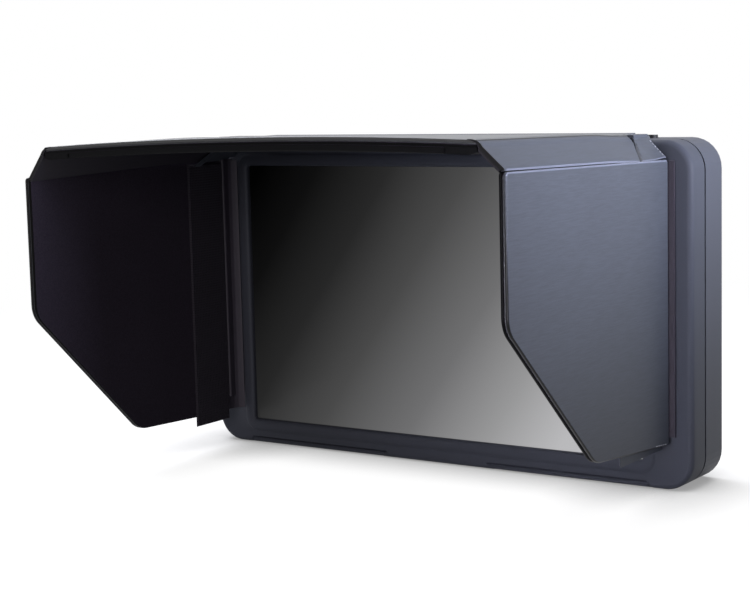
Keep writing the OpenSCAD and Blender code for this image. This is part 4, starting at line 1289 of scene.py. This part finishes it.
@dataclass
class Studio:
    """Floor, soft lamps and the camera at the photograph's angle."""

    azimuth: float = math.radians(34.1)
    elevation: float = math.radians(7.05)
    roll: float = math.radians(-1.43)
    place_mm: tuple[float, float, float] = (255.5, -419.7, 105.7)
    focal_px: float = 1746.0
    frame_px: float = 750.0
    film_mm: float = 36.0
    ambient: float = 0.11
    floor_half: float = 4000.0
    floor_thick: float = 4.0

    def camera(self) -> None:
        """Sets the camera: it looks back along the view line, rolled about it."""
        a, e, r = self.azimuth, self.elevation, self.roll
        back = Vector((math.sin(a) * math.cos(e), -math.cos(a) * math.cos(e), math.sin(e)))
        level = Vector((math.cos(a), math.sin(a), 0.0))
        upright = back.cross(level)
        right = math.cos(r) * level + math.sin(r) * upright
        up = -math.sin(r) * level + math.cos(r) * upright
        data = bpy.data.cameras.new("camera")
        data.sensor_width = self.film_mm
        data.lens = self.film_mm * self.focal_px / self.frame_px
        data.clip_start, data.clip_end = 0.01, 50.0
        turned = Matrix((right, up, back)).transposed().to_4x4()
        turned.translation = Vector(self.place_mm) * MM
        piece = bpy.data.objects.new("camera", data)
        piece.matrix_world = turned
        bpy.context.scene.collection.objects.link(piece)
        bpy.context.scene.camera = piece

    def _lamp(self, name: str, place: tuple[float, float, float], aim: tuple[float, float, float],
              size: tuple[float, float], watts: float, shade: str, beam: float) -> None:
        """Adds one soft box.

        Args:
            name: the lamp's name.
            place: where it hangs, in metres.
            aim: the point that it faces.
            size: its width and height in metres.
            watts: its power.
            shade: its colour.
            beam: the angle in degrees that its light spreads over.
        """
        data = bpy.data.lights.new(name, "AREA")
        data.spread = math.radians(beam)
        data.shape, data.size, data.size_y = "RECTANGLE", size[0], size[1]
        data.energy, data.color = watts, linear(shade)[:3]
        lamp = bpy.data.objects.new(name, data)
        lamp.visible_camera = False
        way = Vector(aim) - Vector(place)
        lamp.matrix_world = Matrix.Translation(place) @ way.to_track_quat("-Z", "Y").to_matrix().to_4x4()
        bpy.context.scene.collection.objects.link(lamp)

    def lights(self) -> None:
        """Hangs the soft boxes: two narrow ones by the right side and the chin, two wide ones, one in front."""
        for name, place, aim, size, watts, shade, beam in (
                ("near_box", (0.25, -0.03, 0.12), (0.07, -0.03, 0.12), (0.2, 0.05), 0.235, "#eef2ff", 64.0),
                ("strip_box", (0.085, -0.26, 0.05), (0.075, -0.014, 0.05), (0.04, 0.09), 0.03, "#f2f2ff", 50.0),
                ("side_box", (0.75, -0.35, 0.75), (0.05, -0.03, 0.05), (0.5, 0.4), 0.16, "#f2f4ff", 180.0),
                ("top_box", (-0.5, 0.15, 0.75), (-0.05, 0.0, 0.05), (0.5, 0.6), 7.4, "#f4f6ff", 180.0),
                ("front_box", (0.25, -1.25, 0.3), (0.0, 0.0, 0.04), (0.7, 0.5), 4.0, "#fff6f2", 180.0)):
            self._lamp(name, place, aim, size, watts, shade, beam)

    def world(self) -> None:
        """Sets a white world for what looks at it, and a dim one for the light that it gives."""
        world = bpy.data.worlds.new("studio")
        world.use_nodes = True
        bpy.context.scene.world = world
        tree = world.node_tree
        tree.nodes.clear()
        level = remap(tree, looked_at(tree), (0.0, 1.0), (self.ambient, 1.0))
        back = add_node(tree, "Background", {"Color": linear("#ffffff"), "Strength": level})
        add_node(tree, "OutputWorld", {"Surface": back.outputs[0]})

    def floor(self) -> None:
        """Lays a wide pale floor that fades to white away from the object; near it the glow is darkened by
        ambient occlusion, a painted contact shadow, beside the real shadow on its paper.
        """
        size = np.linspace(-self.floor_half, self.floor_half, 9)
        gx, gy = np.meshgrid(size, size, indexing="ij")
        grid = np.stack([gx, gy, np.full_like(gx, -0.05)], -1)
        points, faces, _ = sheet_shell(grid, grid - np.array([0, 0, self.floor_thick]))
        material, tree = new_material("pale_paper")
        coords = add_node(tree, "TexCoord").outputs["Object"]
        far = add_node(tree, "VectorMath", {0: coords}, operation="LENGTH").outputs["Value"]
        fade = remap(tree, far, (0.12, 0.42), interpolation_type="SMOOTHSTEP")
        paper = add_node(tree, "BsdfDiffuse", {"Color": linear("#7c7c7e")})
        glow = add_node(tree, "Emission", {"Color": linear("#ffffff"), "Strength": 1.0})
        # Ambient occlusion darkens the glow near the object: a painted contact shadow
        open_sky = add_node(tree, "AmbientOcclusion", {"Distance": 0.03}, samples=16).outputs["AO"]
        level = remap(tree, open_sky, (0.35, 0.92), (0.3, 0.985))
        glow_with_painted_shadow = add_node(tree, "Emission", {"Color": linear("#ffffff"), "Strength": level})
        near = add_node(tree, "AddShader", {0: paper.outputs[0], 1: glow_with_painted_shadow.outputs[0]})
        seen = add_node(tree, "MixShader", {0: fade, 1: near.outputs[0], 2: glow.outputs[0]})
        both = add_node(tree, "MixShader",
                        {0: looked_at(tree), 1: paper.outputs[0], 2: seen.outputs[0]})
        add_node(tree, "OutputMaterial", {"Surface": both.outputs[0]})
        make_piece("paper_floor", points, faces, material)

    def build(self) -> None:
        """Builds floor, lamps, world and camera, and sets the plain view transform."""
        self.camera()
        self.lights()
        self.world()
        self.floor()
        bpy.context.scene.view_settings.view_transform = "Standard"


def main() -> None:
    """Loads the frame and builds the object's sub-assemblies in order."""
    logging.basicConfig(level=logging.INFO, format="%(name)s: %(message)s")
    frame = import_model()
    finishes = Wardrobe()
    Studio().build()
    MonitorBody(finishes).dress(frame)
    Screen(finishes).build()
    BezelShell(finishes).build()
    HoodPanel(Side.RIGHT, root=1.4, finishes=finishes, root_low=12.3, slant_foot=(42.3, 15.4),
              slant_head=(83.0, 52.2), front_top=86.5, strap_reach=24.0, strap_low=10.9).build()
    HoodPanel(Side.LEFT, root=5.2, finishes=finishes, root_low=9.9, slant_foot=(44.4, 11.3),
              slant_head=(82.6, 47.8), front_top=83.9, strap_low=7.7).build()
    HoodTop(finishes).build()
    HoodWing(Side.RIGHT, finishes).build()
    HoodWing(Side.LEFT, finishes, (69.1, 85.4), (65.2, 90.6), thick=1.2, foot_drop=2.0).build()
    CornerGusset(Side.RIGHT, finishes).build()
    CornerGusset(Side.LEFT, finishes, (69.5, 84.95), (65.3, 90.7)).build()
    RootFold(finishes).build()


if __name__ == "__main__":
    main()
